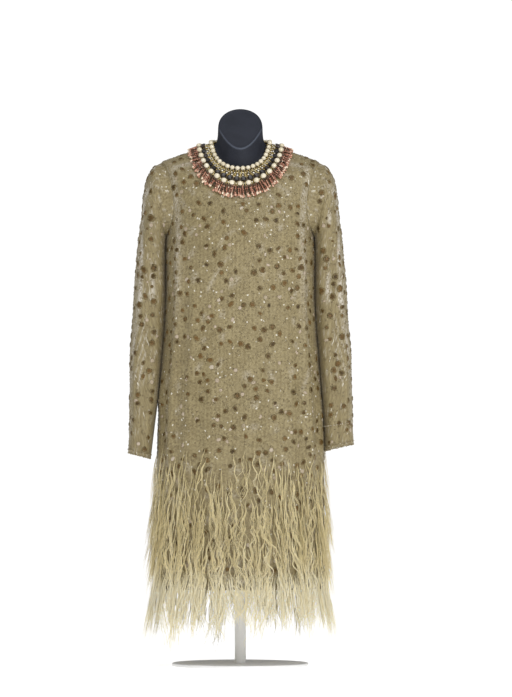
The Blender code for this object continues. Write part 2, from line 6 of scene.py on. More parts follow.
import bpy
import numpy as np
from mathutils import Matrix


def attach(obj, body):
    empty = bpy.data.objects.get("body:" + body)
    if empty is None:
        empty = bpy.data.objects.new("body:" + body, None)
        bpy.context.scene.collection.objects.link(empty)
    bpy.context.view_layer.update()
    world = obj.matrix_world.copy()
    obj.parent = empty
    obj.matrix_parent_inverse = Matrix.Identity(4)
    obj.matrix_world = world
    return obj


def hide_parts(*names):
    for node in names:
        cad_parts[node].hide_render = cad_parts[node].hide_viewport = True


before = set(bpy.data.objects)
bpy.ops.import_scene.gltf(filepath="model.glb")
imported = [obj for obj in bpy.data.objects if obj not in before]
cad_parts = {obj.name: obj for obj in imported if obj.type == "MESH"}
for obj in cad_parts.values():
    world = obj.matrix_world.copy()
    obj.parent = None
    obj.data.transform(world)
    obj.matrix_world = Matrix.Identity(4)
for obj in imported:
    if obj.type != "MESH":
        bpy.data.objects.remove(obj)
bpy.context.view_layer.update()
mm = 0.001

# cut of the dress: the same values as the solids
dress = {
    "hem": 0.172, "underarm": 0.950, "shoulderTip": 1.108, "neckline": 1.148,
    "armholeHalfAngle": math.radians(31), "armholeSquare": 2.7, "cloth": 2.0 * mm, "seamGap": 0.3 * mm,
    "centreRound": 0.2, "foldFade": 0.120, "slack": 0.45 * mm, "slackTop": 1.08, "slackFade": 0.08,
    "sideTouch": 0.4 * mm, "sideFrom": 0.78, "sideFade": 0.19, "sideTop": 0.956,
    "rings": [  # level, half width, front, back, front drop, back rise, square, scoop
        (0.172, 0.184, 0.131, 0.124, 0.000, 0.000, 2.25, 2.00),
        (0.320, 0.184, 0.129, 0.123, 0.000, 0.000, 2.25, 2.00),
        (0.476, 0.183, 0.131, 0.126, 0.000, 0.000, 2.30, 2.00),
        (0.560, 0.180, 0.127, 0.123, 0.000, 0.000, 2.30, 2.00),
        (0.640, 0.174, 0.121, 0.117, 0.000, 0.000, 2.30, 2.00),
        (0.740, 0.165, 0.118, 0.110, 0.000, 0.000, 2.30, 2.00),
        (0.830, 0.161, 0.122, 0.108, 0.000, 0.000, 2.30, 2.00),
        (0.915, 0.160, 0.129, 0.108, 0.000, 0.000, 2.30, 2.00),
        (0.950, 0.160, 0.127, 0.107, 0.000, 0.000, 2.35, 2.00),
        (0.990, 0.162, 0.120, 0.106, 0.004, 0.000, 2.40, 2.00),
        (1.030, 0.166, 0.109, 0.1045, 0.014, -0.004, 2.45, 2.00),
        (1.070, 0.170, 0.094, 0.1005, 0.029, -0.008, 2.50, 2.00),
        (1.108, 0.173, 0.081, 0.0905, 0.045, -0.010, 2.50, 2.00),
        (1.118, 0.150, 0.075, 0.084, 0.0460, -0.004, 2.40, 1.60),
        (1.128, 0.122, 0.070, 0.076, 0.0480, 0.000, 2.30, 1.20),
        (1.138, 0.088, 0.063, 0.065, 0.0515, 0.004, 2.20, 0.80),
        (1.148, 0.059, 0.056, 0.054, 0.0570, 0.006, 2.10, 0.50),
    ],
    "folds": [  # angle, width in degrees, depth, top
        (-18, 5, 0.0040, 0.640), (-36, 5, 0.0075, 0.990), (-54, 5, 0.0040, 0.900), (-72, 6, 0.0050, 0.720),
        (-108, 6, 0.0050, 0.690), (-126, 5, 0.0040, 0.880), (-144, 5, 0.0080, 0.980),
        (-162, 5, 0.0040, 0.700), (36, 5, 0.0065, 0.940), (63, 5, 0.0050, 0.830),
        (117, 5, 0.0055, 0.860), (144, 5, 0.0065, 0.950),
    ],
}
sleeves = {
    "head": [  # outer x, outer z, inner x, inner z, half depth, centre y
        (0.1900, 1.098, 0.1615, 0.938, 0.0580, -0.001), (0.2020, 1.081, 0.1625, 0.924, 0.0590, -0.002),
        (0.2095, 1.057, 0.1630, 0.908, 0.0590, -0.003), (0.2140, 1.028, 0.1630, 0.888, 0.0580, -0.004),
        (0.2190, 0.982, 0.1630, 0.864, 0.0560, -0.005), (0.2250, 0.925, 0.1625, 0.834, 0.0540, -0.007),
        (0.2315, 0.855, 0.1638, 0.795, 0.0510, -0.009), (0.2370, 0.775, 0.1664, 0.740, 0.0480, -0.012),
    ],
    "leftArm": [
        (0.2425, 0.696, 0.1718, 0.680, 0.0450, -0.016), (0.2450, 0.620, 0.1778, 0.608, 0.0420, -0.021),
        (0.2470, 0.550, 0.1822, 0.541, 0.0390, -0.026), (0.2490, 0.491, 0.1848, 0.476, 0.0370, -0.030),
    ],
    "rightArm": [
        (0.2420, 0.690, 0.1722, 0.676, 0.0450, -0.017), (0.2430, 0.610, 0.1790, 0.598, 0.0430, -0.023),
        (0.2440, 0.535, 0.1880, 0.525, 0.0410, -0.029), (0.2460, 0.472, 0.1960, 0.459, 0.0400, -0.034),
    ],
    "folds": [  # angle, width in degrees, depth, first and last station
        (54, 15, 0.0030, 4, 11), (90, 14, -0.0035, 3, 12), (126, 15, 0.0025, 4, 12),
        (234, 15, 0.0025, 3, 12), (270, 14, -0.0035, 2, 11), (306, 15, 0.0030, 3, 10),
    ],
    "slack": 0.9 * mm,
}


def innerLineOf(arm):  # level and x of a sleeve's inner line, from the wrist up
    return [(row[3], row[2]) for row in (sleeves["head"] + sleeves[arm])[::-1]]


# hand, inner line, and the level down to which the dress's side reaches out to it
sleeveSides = [(1, innerLineOf("leftArm"), 0.44), (-1, innerLineOf("rightArm"), 0.55)]
lastStation = len(sleeves["head"]) + len(sleeves["leftArm"])
holeMiddle = (dress["underarm"] + dress["shoulderTip"]) / 2
holeHalf = dress["shoulderTip"] - holeMiddle


# a column of a table read smoothly at any level: a cubic through the rows, with the harmonic mean of the
# steps beside each row as its slope and none where the values turn, so nothing overshoots
def readColumns(rows, at):
    rows = np.asarray(rows, float)
    levels, values = rows[:, 0], rows[:, 1:]
    steps = np.diff(values, axis=0) / np.diff(levels)[:, None]
    before, after = steps[:-1], steps[1:]
    rising = before * after > 0
    inner = np.where(rising, 2 * before * after / np.where(rising, before + after, 1), 0)
    slopes = np.vstack([steps[:1], inner, steps[-1:]])
    at = np.clip(np.asarray(at, float), levels[0], levels[-1])
    i = np.clip(np.searchsorted(levels, at, side="right") - 1, 0, len(levels) - 2)
    span = (levels[i + 1] - levels[i])[..., None]
    t = (at - levels[i])[..., None] / span
    return ((1 + 2 * t) * (1 - t) ** 2 * values[i] + t * t * (3 - 2 * t) * values[i + 1]
            + t * (1 - t) ** 2 * span * slopes[i] + t * t * (t - 1) * span * slopes[i + 1])


def ease(share):  # 0 below 0, 1 above 1, smooth between
    share = np.clip(share, 0, 1)
    return share * share * (3 - 2 * share)


def unit(vectors):
    return vectors / np.maximum(np.linalg.norm(vectors, axis=-1, keepdims=True), 1e-12)


def signedPower(value, power):
    return np.sign(value) * np.abs(value) ** power


def dots(one, other):  # products summed over the last axis, kept as a column
    return (one * other).sum(-1, keepdims=True)


def square(vectors, line):  # the part of the vectors at right angles to a line, as unit vectors
    return unit(vectors - dots(vectors, line) * line)


def lengths(vectors):
    return np.linalg.norm(vectors, axis=-1)


def bell(angle, middle, width):  # bell curve round a circle in degrees, 1 at the middle
    away = ((np.degrees(angle) - middle + 180) % 360 - 180) / width
    return np.exp(-away * away)


# a point of the dress: a superellipse at each level, falling at the centre front and rising at the centre
# back, with upright folds as bell curves round the body and faint slack as a product of sines; under the
# arms its side reaches out to the sleeve
def dressPoint(level, angle, folded=True):
    level, angle = np.broadcast_arrays(np.asarray(level, float), np.asarray(angle, float))
    size = readColumns(dress["rings"], level)
    halfWidth, front, back, drop, rise, corner, scoop = np.moveaxis(size, -1, 0)
    across, along = np.cos(angle), np.sin(angle)
    depth = np.where(along < 0, front, back)
    rounded = dress["centreRound"]
    start, end = rounded ** scoop, (1 + rounded ** 2) ** (scoop / 2)
    share = ((along * along + rounded ** 2) ** (scoop / 2) - start) / (end - start)
    lift = np.where(along < 0, -drop * share, rise * along * along)
    point = np.stack([halfWidth * signedPower(across, 2 / corner), depth * signedPower(along, 2 / corner),
                      level + lift], -1)
    if not folded:
        return point
    height = np.zeros_like(level)
    for foldAngle, width, foldDepth, top in dress["folds"]:
        fade = ease((top - np.maximum(level, dress["hem"])) / dress["foldFade"])
        height = height + foldDepth * bell(angle, foldAngle, width) * fade
    slack = np.sin(level * 71 + 5 * along + 3 * across) * np.sin(angle * 7 + level * 23)
    height = height + dress["slack"] * slack * ease((dress["slackTop"] - level) / dress["slackFade"])
    outward = unit(np.stack([across / halfWidth, along / depth, 0 * level], -1))
    point = point + outward * height[..., None]
    here = halfWidth * math.cos(math.radians(9)) ** 0.87  # the side, nine degrees off its middle
    for hand, innerLine, foot in sleeveSides:
        touch = readColumns(innerLine, level)[..., 0] - here + dress["sideTouch"]
        beside = ease((across * hand - dress["sideFrom"]) / dress["sideFade"])
        between = ease((level - foot) / 0.05) * ease((dress["sideTop"] - level) / 0.02)
        point[..., 0] += hand * np.maximum(touch, 0) * beside * between
    return point


# the point with its outward normal, the way round and the way up, from small steps to either side
def dressFrame(level, angle, folded=True):
    level, angle = np.broadcast_arrays(np.asarray(level, float), np.asarray(angle, float))
    step, turn = 0.0006, 0.004
    low = np.minimum(level, dress["neckline"] - step)
    around = dressPoint(low, angle + turn, folded) - dressPoint(low, angle - turn, folded)
    upward = dressPoint(low + step, angle, folded) - dressPoint(low - step, angle, folded)
    out = unit(np.cross(around, upward))
    around = unit(around)
    return dressPoint(level, angle, folded), out, around, np.cross(out, around)


# half the angle that the armhole takes at a level, an oval, squarer in its upper half
def armholeAngle(level):
    share = (np.asarray(level, float) - holeMiddle) / holeHalf
    corner = np.where(share > 0, dress["armholeSquare"], 2)
    return dress["armholeHalfAngle"] * np.maximum(0, 1 - np.abs(share) ** corner) ** (1 / corner)


def panelAngle(level, share, side):  # share runs over the panel from the wearer's left to the right
    hole = armholeAngle(level)
    return side * (hole + share * (math.pi - 2 * hole))


# a part of an oval, whose upper half is a superellipse that turns to an ellipse down the arm
def ovalPart(value, turn, station):
    corner = 2 + (dress["armholeSquare"] - 2) * ease(1 - station / 6)
    return np.where(np.cos(turn) > 0, signedPower(value, 2 / corner), value)


def armholePlace(turn):  # level and angle on the dress of a place on the armhole's seam
    level = holeMiddle + holeHalf * ovalPart(np.cos(turn), turn, 0)
    return level, np.where(np.sin(turn) > 0, -1, 1) * armholeAngle(level)


# a point of the left sleeve: ovals between its outer and inner line, read smoothly from station to station;
# station 0 is the armhole, which the cloth leaves as it lies beside it, and hand -1 mirrors it
def sleevePoint(station, turn, hand):
    arm = sleeves["head"] + sleeves["leftArm" if hand > 0 else "rightArm"]
    station, turn = np.broadcast_arrays(np.asarray(station, float), np.asarray(turn, float))
    level, side = armholePlace(turn)
    hole = dressPoint(level, side)
    sections = [hole]
    for number, (outerX, outerZ, innerX, innerZ, halfDepth, centreY) in enumerate(arm, start=1):
        middle = np.array([(outerX + innerX) / 2, centreY, (outerZ + innerZ) / 2])
        reach = np.array([(outerX - innerX) / 2, 0, (outerZ - innerZ) / 2])
        up, out = ovalPart(np.cos(turn), turn, number), ovalPart(np.sin(turn), turn, number)
        sections.append(middle + up[..., None] * reach - out[..., None] * np.array([0, halfDepth, 0]))
    sections = np.stack(sections)
    steps = np.diff(sections, axis=0)

    edge = unit(dressPoint(*armholePlace(turn + 0.03)) - dressPoint(*armholePlace(turn - 0.03)))
    beside = dressPoint(level + (level - holeMiddle) * 0.04, side * 1.04)
    leaving = square(hole - beside, edge) * lengths(steps[0])[..., None]
    smooth = 0.8 * ease((np.cos(turn) + 0.3) / 0.9)[..., None]
    slopes = np.concatenate([(steps[0] + (leaving - steps[0]) * smooth)[None], (steps[1:] + steps[:-1]) / 2,
                             steps[-1:]])
    station = np.clip(station, 0, len(arm))
    i = np.clip(station.astype(int), 0, len(arm) - 1)
    t = (station - i)[..., None]

    def pick(stack, index):
        return np.take_along_axis(stack, index[None, ..., None], 0)[0]

    point = ((1 + 2 * t) * (1 - t) ** 2 * pick(sections, i) + t * t * (3 - 2 * t) * pick(sections, i + 1)
             + t * (1 - t) ** 2 * pick(slopes, i) + t * t * (t - 1) * pick(slopes, i + 1))
    height = np.zeros_like(station)
    for foldAngle, width, depth, first, last in sleeves["folds"]:
        fade = ease((station - first) / 2) * ease((last + 1 - station) / 2)
        height = height + depth * bell(turn, foldAngle, width) * fade
    slack = np.sin(station * 2.9 + 2 * np.sin(turn)) * np.sin(turn * 3 + station * 0.9)
    height = height + sleeves["slack"] * slack * ease((station - 1) / 3) * (1 - bell(turn, 180, 40))
    outward = np.stack([np.cos(turn), -np.sin(turn), 0 * turn], -1)
    point = point + outward * height[..., None]
    return point * np.array([hand, 1, 1])


def sleeveFrame(station, turn, hand):
    step = 0.02
    middle = np.clip(station, step, lastStation - step)
    around = sleevePoint(middle, turn + step, hand) - sleevePoint(middle, turn - step, hand)
    upward = sleevePoint(middle - step, turn, hand) - sleevePoint(middle + step, turn, hand)
    out = unit(np.cross(upward, around)) * hand
    around = unit(around)
    return sleevePoint(station, turn, hand), out, around, unit(upward)


# faces of four corners between the points of a grid, counted row by row
def gridFaces(rows, columns, closedRound=False):
    r = np.arange(rows - 1)[:, None]
    c = np.arange(columns if closedRound else columns - 1)[None]
    a, b = r * columns + c, r * columns + (c + 1) % columns
    return np.stack([a, b, b + columns, a + columns], -1).reshape(-1, 4)


# puts arrays of points and faces into a mesh; faces is a list of arrays, each with its own number of corners
def makePiece(name, points, faces, materials, smooth=True, values=None, cornerUv=None):
    mesh = bpy.data.meshes.new(name)
    points = np.asarray(points, np.float32).reshape(-1, 3)
    faces = [np.asarray(group, np.int32) for group in (faces if isinstance(faces, list) else [faces])]
    corners = np.concatenate([group.ravel() for group in faces])
    widths = np.concatenate([np.full(len(group), group.shape[1]) for group in faces])
    mesh.vertices.add(len(points))
    mesh.vertices.foreach_set("co", points.ravel())
    mesh.loops.add(len(corners))
    mesh.loops.foreach_set("vertex_index", corners)
    mesh.polygons.add(len(widths))
    mesh.polygons.foreach_set("loop_start", (np.cumsum(widths) - widths).astype(np.int32))
    mesh.polygons.foreach_set("use_smooth", np.full(len(widths), smooth))
    mesh.update(calc_edges=True)
    for key, value in (values or {}).items():
        kept = mesh.attributes.new(key, "FLOAT", "POINT")
        kept.data.foreach_set("value", np.asarray(value, np.float32).ravel())
    if cornerUv is not None:
        mesh.uv_layers.new(name="cloth").data.foreach_set("uv", cornerUv.astype(np.float32).ravel())
    for material in materials:
        mesh.materials.append(material)
    piece = bpy.data.objects.new(name, mesh)
    bpy.context.scene.collection.objects.link(piece)
    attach(piece, "root")
    return piece


# copies of a small shape, each scaled, turned to its own three directions and moved to its centre
def stamp(shape, centres, across, along, out, sizes):
    points, faces = shape
    sizes = np.broadcast_to(np.asarray(sizes, float), (len(centres), 3))
    local = points[None] * sizes[:, None]
    world = (centres[:, None] + local[..., :1] * across[:, None] + local[..., 1:2] * along[:, None]
             + local[..., 2:] * out[:, None])
    shift = np.arange(len(centres))[:, None, None] * len(points)
    return world.reshape(-1, 3), [(group[None] + shift).reshape(-1, group.shape[1]) for group in faces]


def joinShapes(parts):  # several stamped sets as one set of points and faces
    points, faces, start = [], [], 0
    for some, groups in parts:
        points.append(some)
        faces += [group + start for group in groups]
        start += len(some)
    return np.concatenate(points), faces


# rings of equal numbers of points, from the foot up, closed by a point at each end
def closedRings(rings, foot, top):
    count, sides = len(rings), len(rings[0])
    points = np.concatenate([[foot], *rings, [top]])
    near, far = np.arange(sides), (np.arange(sides) + 1) % sides
    last = 1 + (count - 1) * sides
    footFaces = np.stack([np.zeros(sides, int), 1 + far, 1 + near], -1)
    topFaces = np.stack([np.full(sides, len(points) - 1), last + near, last + far], -1)
    return points, [footFaces, topFaces, gridFaces(count, sides, True) + 1]


def roundTurns(sides):
    return np.arange(sides) * 2 * math.pi / sides


# a shape turned round its own axis from rows of radius and height; corner above 2 makes it squarer
def turnedShape(profile, sides, corner=2):
    turn = roundTurns(sides)
    across, along = signedPower(np.cos(turn), 2 / corner), signedPower(np.sin(turn), 2 / corner)
    rings = [np.stack([radius * across, radius * along, np.full(sides, height)], -1)
             for radius, height in profile[1:-1]]
    return closedRings(rings, [0, 0, profile[0][1]], [0, 0, profile[-1][1]])


def ballShape(sides, rows):
    turn = np.linspace(-math.pi / 2, math.pi / 2, rows + 1)
    return turnedShape([(math.cos(t), math.sin(t)) for t in turn], sides)


# materials: sizes of a pattern are in metres, so its scale is one over them
waveTurn = 3.18  # the wave texture has this many bands for each unit of its scale


def colour(hexCode):  # sRGB hex to linear
    parts = [int(hexCode[i:i + 2], 16) / 255 for i in (0, 2, 4)]
    linear = [p / 12.92 if p <= 0.04045 else ((p + 0.055) / 1.055) ** 2.4 for p in parts]
    return (*linear, 1.0)


def addNode(tree, kind, inputs=None, stops=None, **settings):
    made = tree.nodes.new("ShaderNode" + kind)
    for key, value in settings.items():
        setattr(made, key, value)
    for key, value in (inputs or {}).items():
        socket = made.inputs[key]
        if isinstance(value, bpy.types.NodeSocket):
            tree.links.new(value, socket)
        else:
            socket.default_value = value
    for i, (place, shade) in enumerate(stops or []):
        elements = made.color_ramp.elements
        stop = elements[i] if i < 2 else elements.new(place)
        stop.position, stop.color = place, colour(shade)
    return made


def newTree(name):
    material = bpy.data.materials.new(name)
    material.use_nodes = True
    material.node_tree.nodes.clear()
    return material, material.node_tree


def surfaced(material, inputs):  # the material with its surface
    tree = material.node_tree
    surface = addNode(tree, "BsdfPrincipled", inputs)
    addNode(tree, "OutputMaterial", {"Surface": surface.outputs[0]})
    return material


def ownValue(tree, name):  # a value kept on the mesh
    return addNode(tree, "Attribute", attribute_name=name).outputs["Fac"]


def objectPlace(tree):
    return addNode(tree, "TexCoord").outputs["Object"]


def noise(tree, at, size, detail, more=None, **settings):
    inputs = {"Vector": at, "Scale": 1 / size, "Detail": detail, **(more or {})}
    return addNode(tree, "TexNoise", inputs, **settings).outputs[0]


def wave(tree, at, size, distortion, direction, more=None):
    inputs = {"Vector": at, "Scale": 1 / size / waveTurn, "Distortion": distortion, **(more or {})}
    return addNode(tree, "TexWave", inputs, bands_direction=direction).outputs[0]


def multiply(tree, first, second, added=None):  # first times second, and a third added
    if added is None:
        return addNode(tree, "Math", {0: first, 1: second}, operation="MULTIPLY").outputs[0]
    return addNode(tree, "Math", {0: first, 1: second, 2: added}, operation="MULTIPLY_ADD").outputs[0]


def ramp(tree, value, *stops):
    return addNode(tree, "ValToRGB", {"Fac": value}, stops).outputs[0]


def ranged(tree, value, low, high, toLow=0.0, toHigh=1.0):
    inputs = {"Value": value, "From Min": low, "From Max": high, "To Min": toLow, "To Max": toHigh}
    return addNode(tree, "MapRange", inputs).outputs[0]


def mixed(tree, factor, first, second):
    return addNode(tree, "Mix", {"Factor": factor, "A": first, "B": second}, data_type="RGBA").outputs[2]


def bump(tree, height, strength, depth, **settings):
    inputs = {"Height": height, "Strength": strength, "Distance": depth}
    return addNode(tree, "Bump", inputs, **settings).outputs[0]


# silk georgette sewn over with tiny beads: a fine pale and dark grain, in faint upright rows, with painted
# highlight: silver flecks painted where the piece's painted glint is high, and a few cells painted as glints
def makeBeadedSilk():
    material, tree = newTree("beaded_silk")
    at = addNode(tree, "UVMap", uv_map="cloth").outputs["UV"]
    beads = addNode(tree, "TexVoronoi", {"Vector": at, "Scale": 1 / (3.0 * mm)}, voronoi_dimensions="2D")
    grain = noise(tree, at, 5.0 * mm, 3.0, {"Roughness": 0.62}, noise_dimensions="2D")
    patches = noise(tree, at, 38 * mm, 2.0, noise_dimensions="2D")
    rows = wave(tree, at, 9 * mm, 2.2, "X", {"Detail": 2.0, "Detail Scale": 1.2})
    split = addNode(tree, "SeparateColor", {"Color": beads.outputs["Color"]}).outputs
    mix = multiply(tree, split[0], 0.42)
    for part, share in ((grain, 0.46), (patches, 0.30), (rows, 0.14)):
        mix = multiply(tree, part, share, mix)
    tone = ramp(tree, mix, (0.24, "6e5f3e"), (0.92, "9c8e67"), (0.46, "80724d"), (0.64, "8a7c58"))
    # painted highlight: silver painted over the grain where the painted glint is high
    paintedHighlight = multiply(tree, ranged(tree, grain, 0.32, 0.58), ownValue(tree, "paintedGlint"))
    highlightedTone = mixed(tree, paintedHighlight, tone, colour("d3ccbe"))
    # painted glints: a few bead cells painted pale
    paintedSparkle = ranged(tree, split[1], 0.986, 0.992)
    height = multiply(tree, beads.outputs["Distance"], -1.0, grain)
    return surfaced(material, {
        "Base Color": mixed(tree, paintedSparkle, highlightedTone, colour("d9d3c2")), "IOR": 1.5, "Sheen Weight": 0.12,
        "Roughness": ranged(tree, split[2], 0.0, 1.0, 0.34, 0.72), "Sheen Roughness": 0.5,
        "Normal": bump(tree, height, 0.55, 0.7 * mm)})


# plain silk lining: smooth, soft sheen, a very fine weave
def makeSilkLining():
    material, tree = newTree("silk_lining")
    weave = noise(tree, objectPlace(tree), 4 * mm, 2.0)
    return surfaced(material, {
        "Base Color": ramp(tree, weave, (0.3, "8d8060"), (0.7, "9c8f70")), "Roughness": 0.5,
        "Normal": bump(tree, weave, 0.2, 0.3 * mm), "Sheen Weight": 0.2})


# a family of small sewn-on things whose colour runs over a ramp by each one's own chance value, clouded a
# little around its own place; relief is the bump's strength
def makeBeads(name, stops, roughness, metallic=0.0, coat=0.0, grain=2.0 * mm, relief=0.4):
    material, tree = newTree(name)
    clouding = 0.35
    cloud = noise(tree, objectPlace(tree), grain, 2.0)
    place = multiply(tree, cloud, clouding, ownValue(tree, "chance"))
    centred = addNode(tree, "Math", {0: place, 1: -clouding / 2}, operation="ADD").outputs[0]
    return surfaced(material, {
        "Base Color": ramp(tree, centred, *stops), "Roughness": roughness, "Metallic": metallic,
        "Coat Weight": coat, "Coat Roughness": 0.12, "Normal": bump(tree, cloud, relief, 0.3 * mm)})


# sewn rosettes: dark bronze thread and bead, ragged at the edge, some with a paler eye; rim is 0 at the
# middle and 1 outside
def makeRosettes():
    material, tree = newTree("bronze_bead_rosette")
    rim = ownValue(tree, "rim")
    cells = addNode(tree, "TexVoronoi", {"Vector": objectPlace(tree), "Scale": 1 / (2.4 * mm)}).outputs
    split = addNode(tree, "SeparateColor", {"Color": cells["Color"]}).outputs
    tone = ramp(tree, multiply(tree, split[0], 0.5, ownValue(tree, "chance")),
                (0.15, "3b2c12"), (1.0, "6b5026"), (0.45, "4a3918"), (0.75, "5b441f"))
    eye = multiply(tree, ranged(tree, rim, 0.2, 0.55, 1.0, 0.0), ownValue(tree, "eye"))
    edge = ranged(tree, multiply(tree, split[1], 0.45, rim), 0.72, 1.22)
    return surfaced(material, {
        "Base Color": mixed(tree, edge, mixed(tree, eye, tone, colour("7b6039")), colour("8a7b56")),
        "Roughness": 0.45, "Normal": bump(tree, cells["Distance"], 0.6, 0.6 * mm, invert=True),
        "Specular IOR Level": 0.3})


# dyed ostrich feather: fine dry barbs, a soft edge of light; strands low down are painted pale, more so
# toward their tips, as painted light shining through them
def makeFeather():
    material, tree = newTree("ostrich_feather")
    own = ownValue(tree, "chance")
    root = ramp(tree, own, (0.0, "bfae78"), (1.0, "fff5d0"), (0.30, "dfce98"), (0.65, "f6e7b4"))
    # tip is the pale ramp: painted light shining through the strands
    tip = ramp(tree, own, (0.0, "f3e5b4"), (1.0, "fffae4"), (0.4, "fdf1c6"))
    cloud = noise(tree, objectPlace(tree), 12 * mm, 3.0)
    return surfaced(material, {
        # down mixes in the pale ramp low down: painted light
        "Base Color": mixed(tree, ranged(tree, ownValue(tree, "down"), 0.30, 1.0), root, tip),
        "Roughness": 0.62, "Normal": bump(tree, cloud, 0.3, 0.4 * mm), "Sheen Weight": 0.35,
        "Sheen Roughness": 0.4})


# cotton jersey stretched over a foam form: very fine ribs, dull dark blue grey, with a painted highlight
# along the front edge of the neck's cut and a faint paler tint over the cap; edge is high along the rim
def makeJersey():
    material, tree = newTree("cotton_jersey")
    at = objectPlace(tree)
    cloud = noise(tree, at, 26 * mm, 4.0)
    tone = ramp(tree, cloud, (0.3, "1f222b"), (0.7, "272a34"))
    height = multiply(tree, wave(tree, at, 2.2 * mm, 0.6, "Z"), 0.4, cloud)
    return surfaced(material, {
        # edge mixes in the pale colour: a painted highlight along the front of the cut, a faint tint over
        # the cap
        "Base Color": mixed(tree, ownValue(tree, "edge"), tone, colour("5d6472")), "Roughness": 0.66,
        "Normal": bump(tree, height, 0.12, 0.4 * mm), "Specular IOR Level": 0.3})


# powder-coated steel: satin white with a slight orange peel
def makeEnamel():
    material, tree = newTree("powder_coated_steel")
    at = objectPlace(tree)
    wear = noise(tree, at, 60 * mm, 5.0)
    return surfaced(material, {
        "Base Color": ramp(tree, wear, (0.3, "f3f3f1"), (0.7, "fafaf9")), "Roughness": 0.38,
        "Normal": bump(tree, noise(tree, at, 2.5 * mm, 2.0), 0.12, 0.2 * mm), "Coat Weight": 0.2,
        "Coat Roughness": 0.3})


# woven polyester zip tape: a fine twill, a shade darker than the dress
def makeTape():
    material, tree = newTree("polyester_tape")
    twill = wave(tree, objectPlace(tree), 1.6 * mm, 0.3, "DIAGONAL")
    return surfaced(material, {
        "Base Color": ramp(tree, twill, (0.0, "6f6346"), (1.0, "857857")), "Roughness": 0.6,
        "Normal": bump(tree, twill, 0.4, 0.3 * mm)})


beadedSilk, silkLining, rosetteThread = makeBeadedSilk(), makeSilkLining(), makeRosettes()
# faceted discs, dull and a little glossy; then small ones from bronze to silver
paleSequin = makeBeads("pale_sequin", [(0.0, "a39479"), (1.0, "c4b8a4"), (0.5, "b3a28c")], 0.4, coat=0.2)
smallSequin = makeBeads("bronze_sequin", [(0.0, "84765a"), (1.0, "e4dccb"), (0.30, "908262"),
                                          (0.62, "a39777")], 0.36, metallic=0.15)
# glossy cream pearls, warm wire with soft highlights, bright stones and nearly black ones
pearl = makeBeads("glass_pearl", [(0.0, "dccfb0"), (1.0, "f6edd6"), (0.5, "ebe0c4")], 0.22, coat=0.6,
                  grain=6 * mm, relief=0.1)
goldWire = makeBeads("gilt_brass", [(0.0, "8c7743"), (1.0, "eadba6"), (0.5, "bfa969")], 0.3, metallic=0.7)
crystal = makeBeads("cut_crystal", [(0.0, "b9b09a"), (1.0, "f4f1ea"), (0.5, "dad4c6")], 0.08, metallic=0.4,
                    coat=0.8, relief=0.05)
jetStone = makeBeads("jet_glass", [(0.0, "15100d"), (1.0, "40322a"), (0.6, "231b17")], 0.26, coat=0.15,
                     relief=0.05)
# beads from dark brown thread through coral to cream, and the dark net that carries them, its darkness
# partly its own colour and partly painted shade between the strands
coral = makeBeads("coral_bead", [(0.0, "53402a"), (1.0, "f5e2c8"), (0.20, "74503a"), (0.45, "ac7058"),
                                 (0.75, "d4a288")], 0.3, coat=0.4)
netCloth = makeBeads("bronze_net", [(0.0, "3a2d1a"), (1.0, "6a5836")], 0.6, grain=3 * mm, relief=0.8)
feather, jersey, enamel, zipTape = makeFeather(), makeJersey(), makeEnamel(), makeTape()
print("materials ready")


# dress panels
panels = {"columns": 112, "lowerRows": 88, "armholeRows": 28, "shoulderRows": 12}


def panelLevels():
    lower = np.linspace(dress["hem"], dress["underarm"], panels["lowerRows"])[:-1]
    turn = np.linspace(0, math.pi, panels["armholeRows"])
    upper = np.linspace(dress["shoulderTip"], dress["neckline"], panels["shoulderRows"])[1:]
    return np.concatenate([lower, holeMiddle - holeHalf * np.cos(turn), upper])


# lengths along the surface: round from the middle column, up from the foot
def metricUv(points, middleColumn):
    u = np.concatenate([np.zeros((len(points), 1)), np.cumsum(lengths(np.diff(points, axis=1)), axis=1)], 1)
    u = u - u[:, middleColumn:middleColumn + 1]
    up = np.cumsum(lengths(np.diff(points, axis=0)), axis=0)
    return np.stack([u, np.concatenate([np.zeros((1, points.shape[1])), up], 0)], -1)


def facesIn(points, faces, normals):  # whether the faces look against the normals
    first = points.reshape(-1, 3)[faces[:, :3]]
    facing = np.cross(first[:, 1] - first[:, 0], first[:, 2] - first[:, 0])
    return (facing * normals.reshape(-1, 3)[faces[:, 0]]).sum() < 0


# traits of a place are its painted glint and the share of rosettes kept; the painted glint, a painted
# highlight that silvers the beads, pales the sequins and adds sequins, is high along the two front folds,
# down the front of the sleeves and in small clusters, where two sines meet
def clusters(one, two):
    swell = np.sin(one * 61 + 3 * np.sin(two * 5)) * np.sin(two * 11 + 4 * np.sin(one * 17))
    return ease((swell - 0.62) / 0.35)


def panelTraits(level, angle):  # fewer rosettes over the middle of the front and back
    away = np.abs(np.abs(np.degrees(angle)) % 180 - 90)  # degrees from the centre front or back
    # painted highlight along the two front folds and in clusters
    folds = 0.45 * np.exp(-((away - 55) / 5) ** 2) * ease((level - 0.65) / 0.3)
    return np.clip(folds + 0.3 * clusters(level, angle), 0, 1), 0.66 + 0.34 * ease((away - 40) / 18)


def sleeveTraits(station, turn):
    away = (np.degrees(turn) + 180) % 360 - 180
    sway = 42 + 14 * np.sin(station * 1.1)
    # painted highlight in streaks down the front of the sleeve
    streak = np.exp(-((away - sway) / 8) ** 2) * (0.95 + 0.60 * np.sin(station * 4.3 + 1))
    streak = streak + 0.9 * np.exp(-((away - sway - 45) / 7) ** 2) * ease(np.sin(station * 2.1))
    paintedGlint = streak * ease((station - 1) / 2) * ease((10.5 - station) / 3)
    return np.clip(paintedGlint + 0.6 * clusters(station / lastStation, turn), 0, 1), np.full_like(station, 0.95)


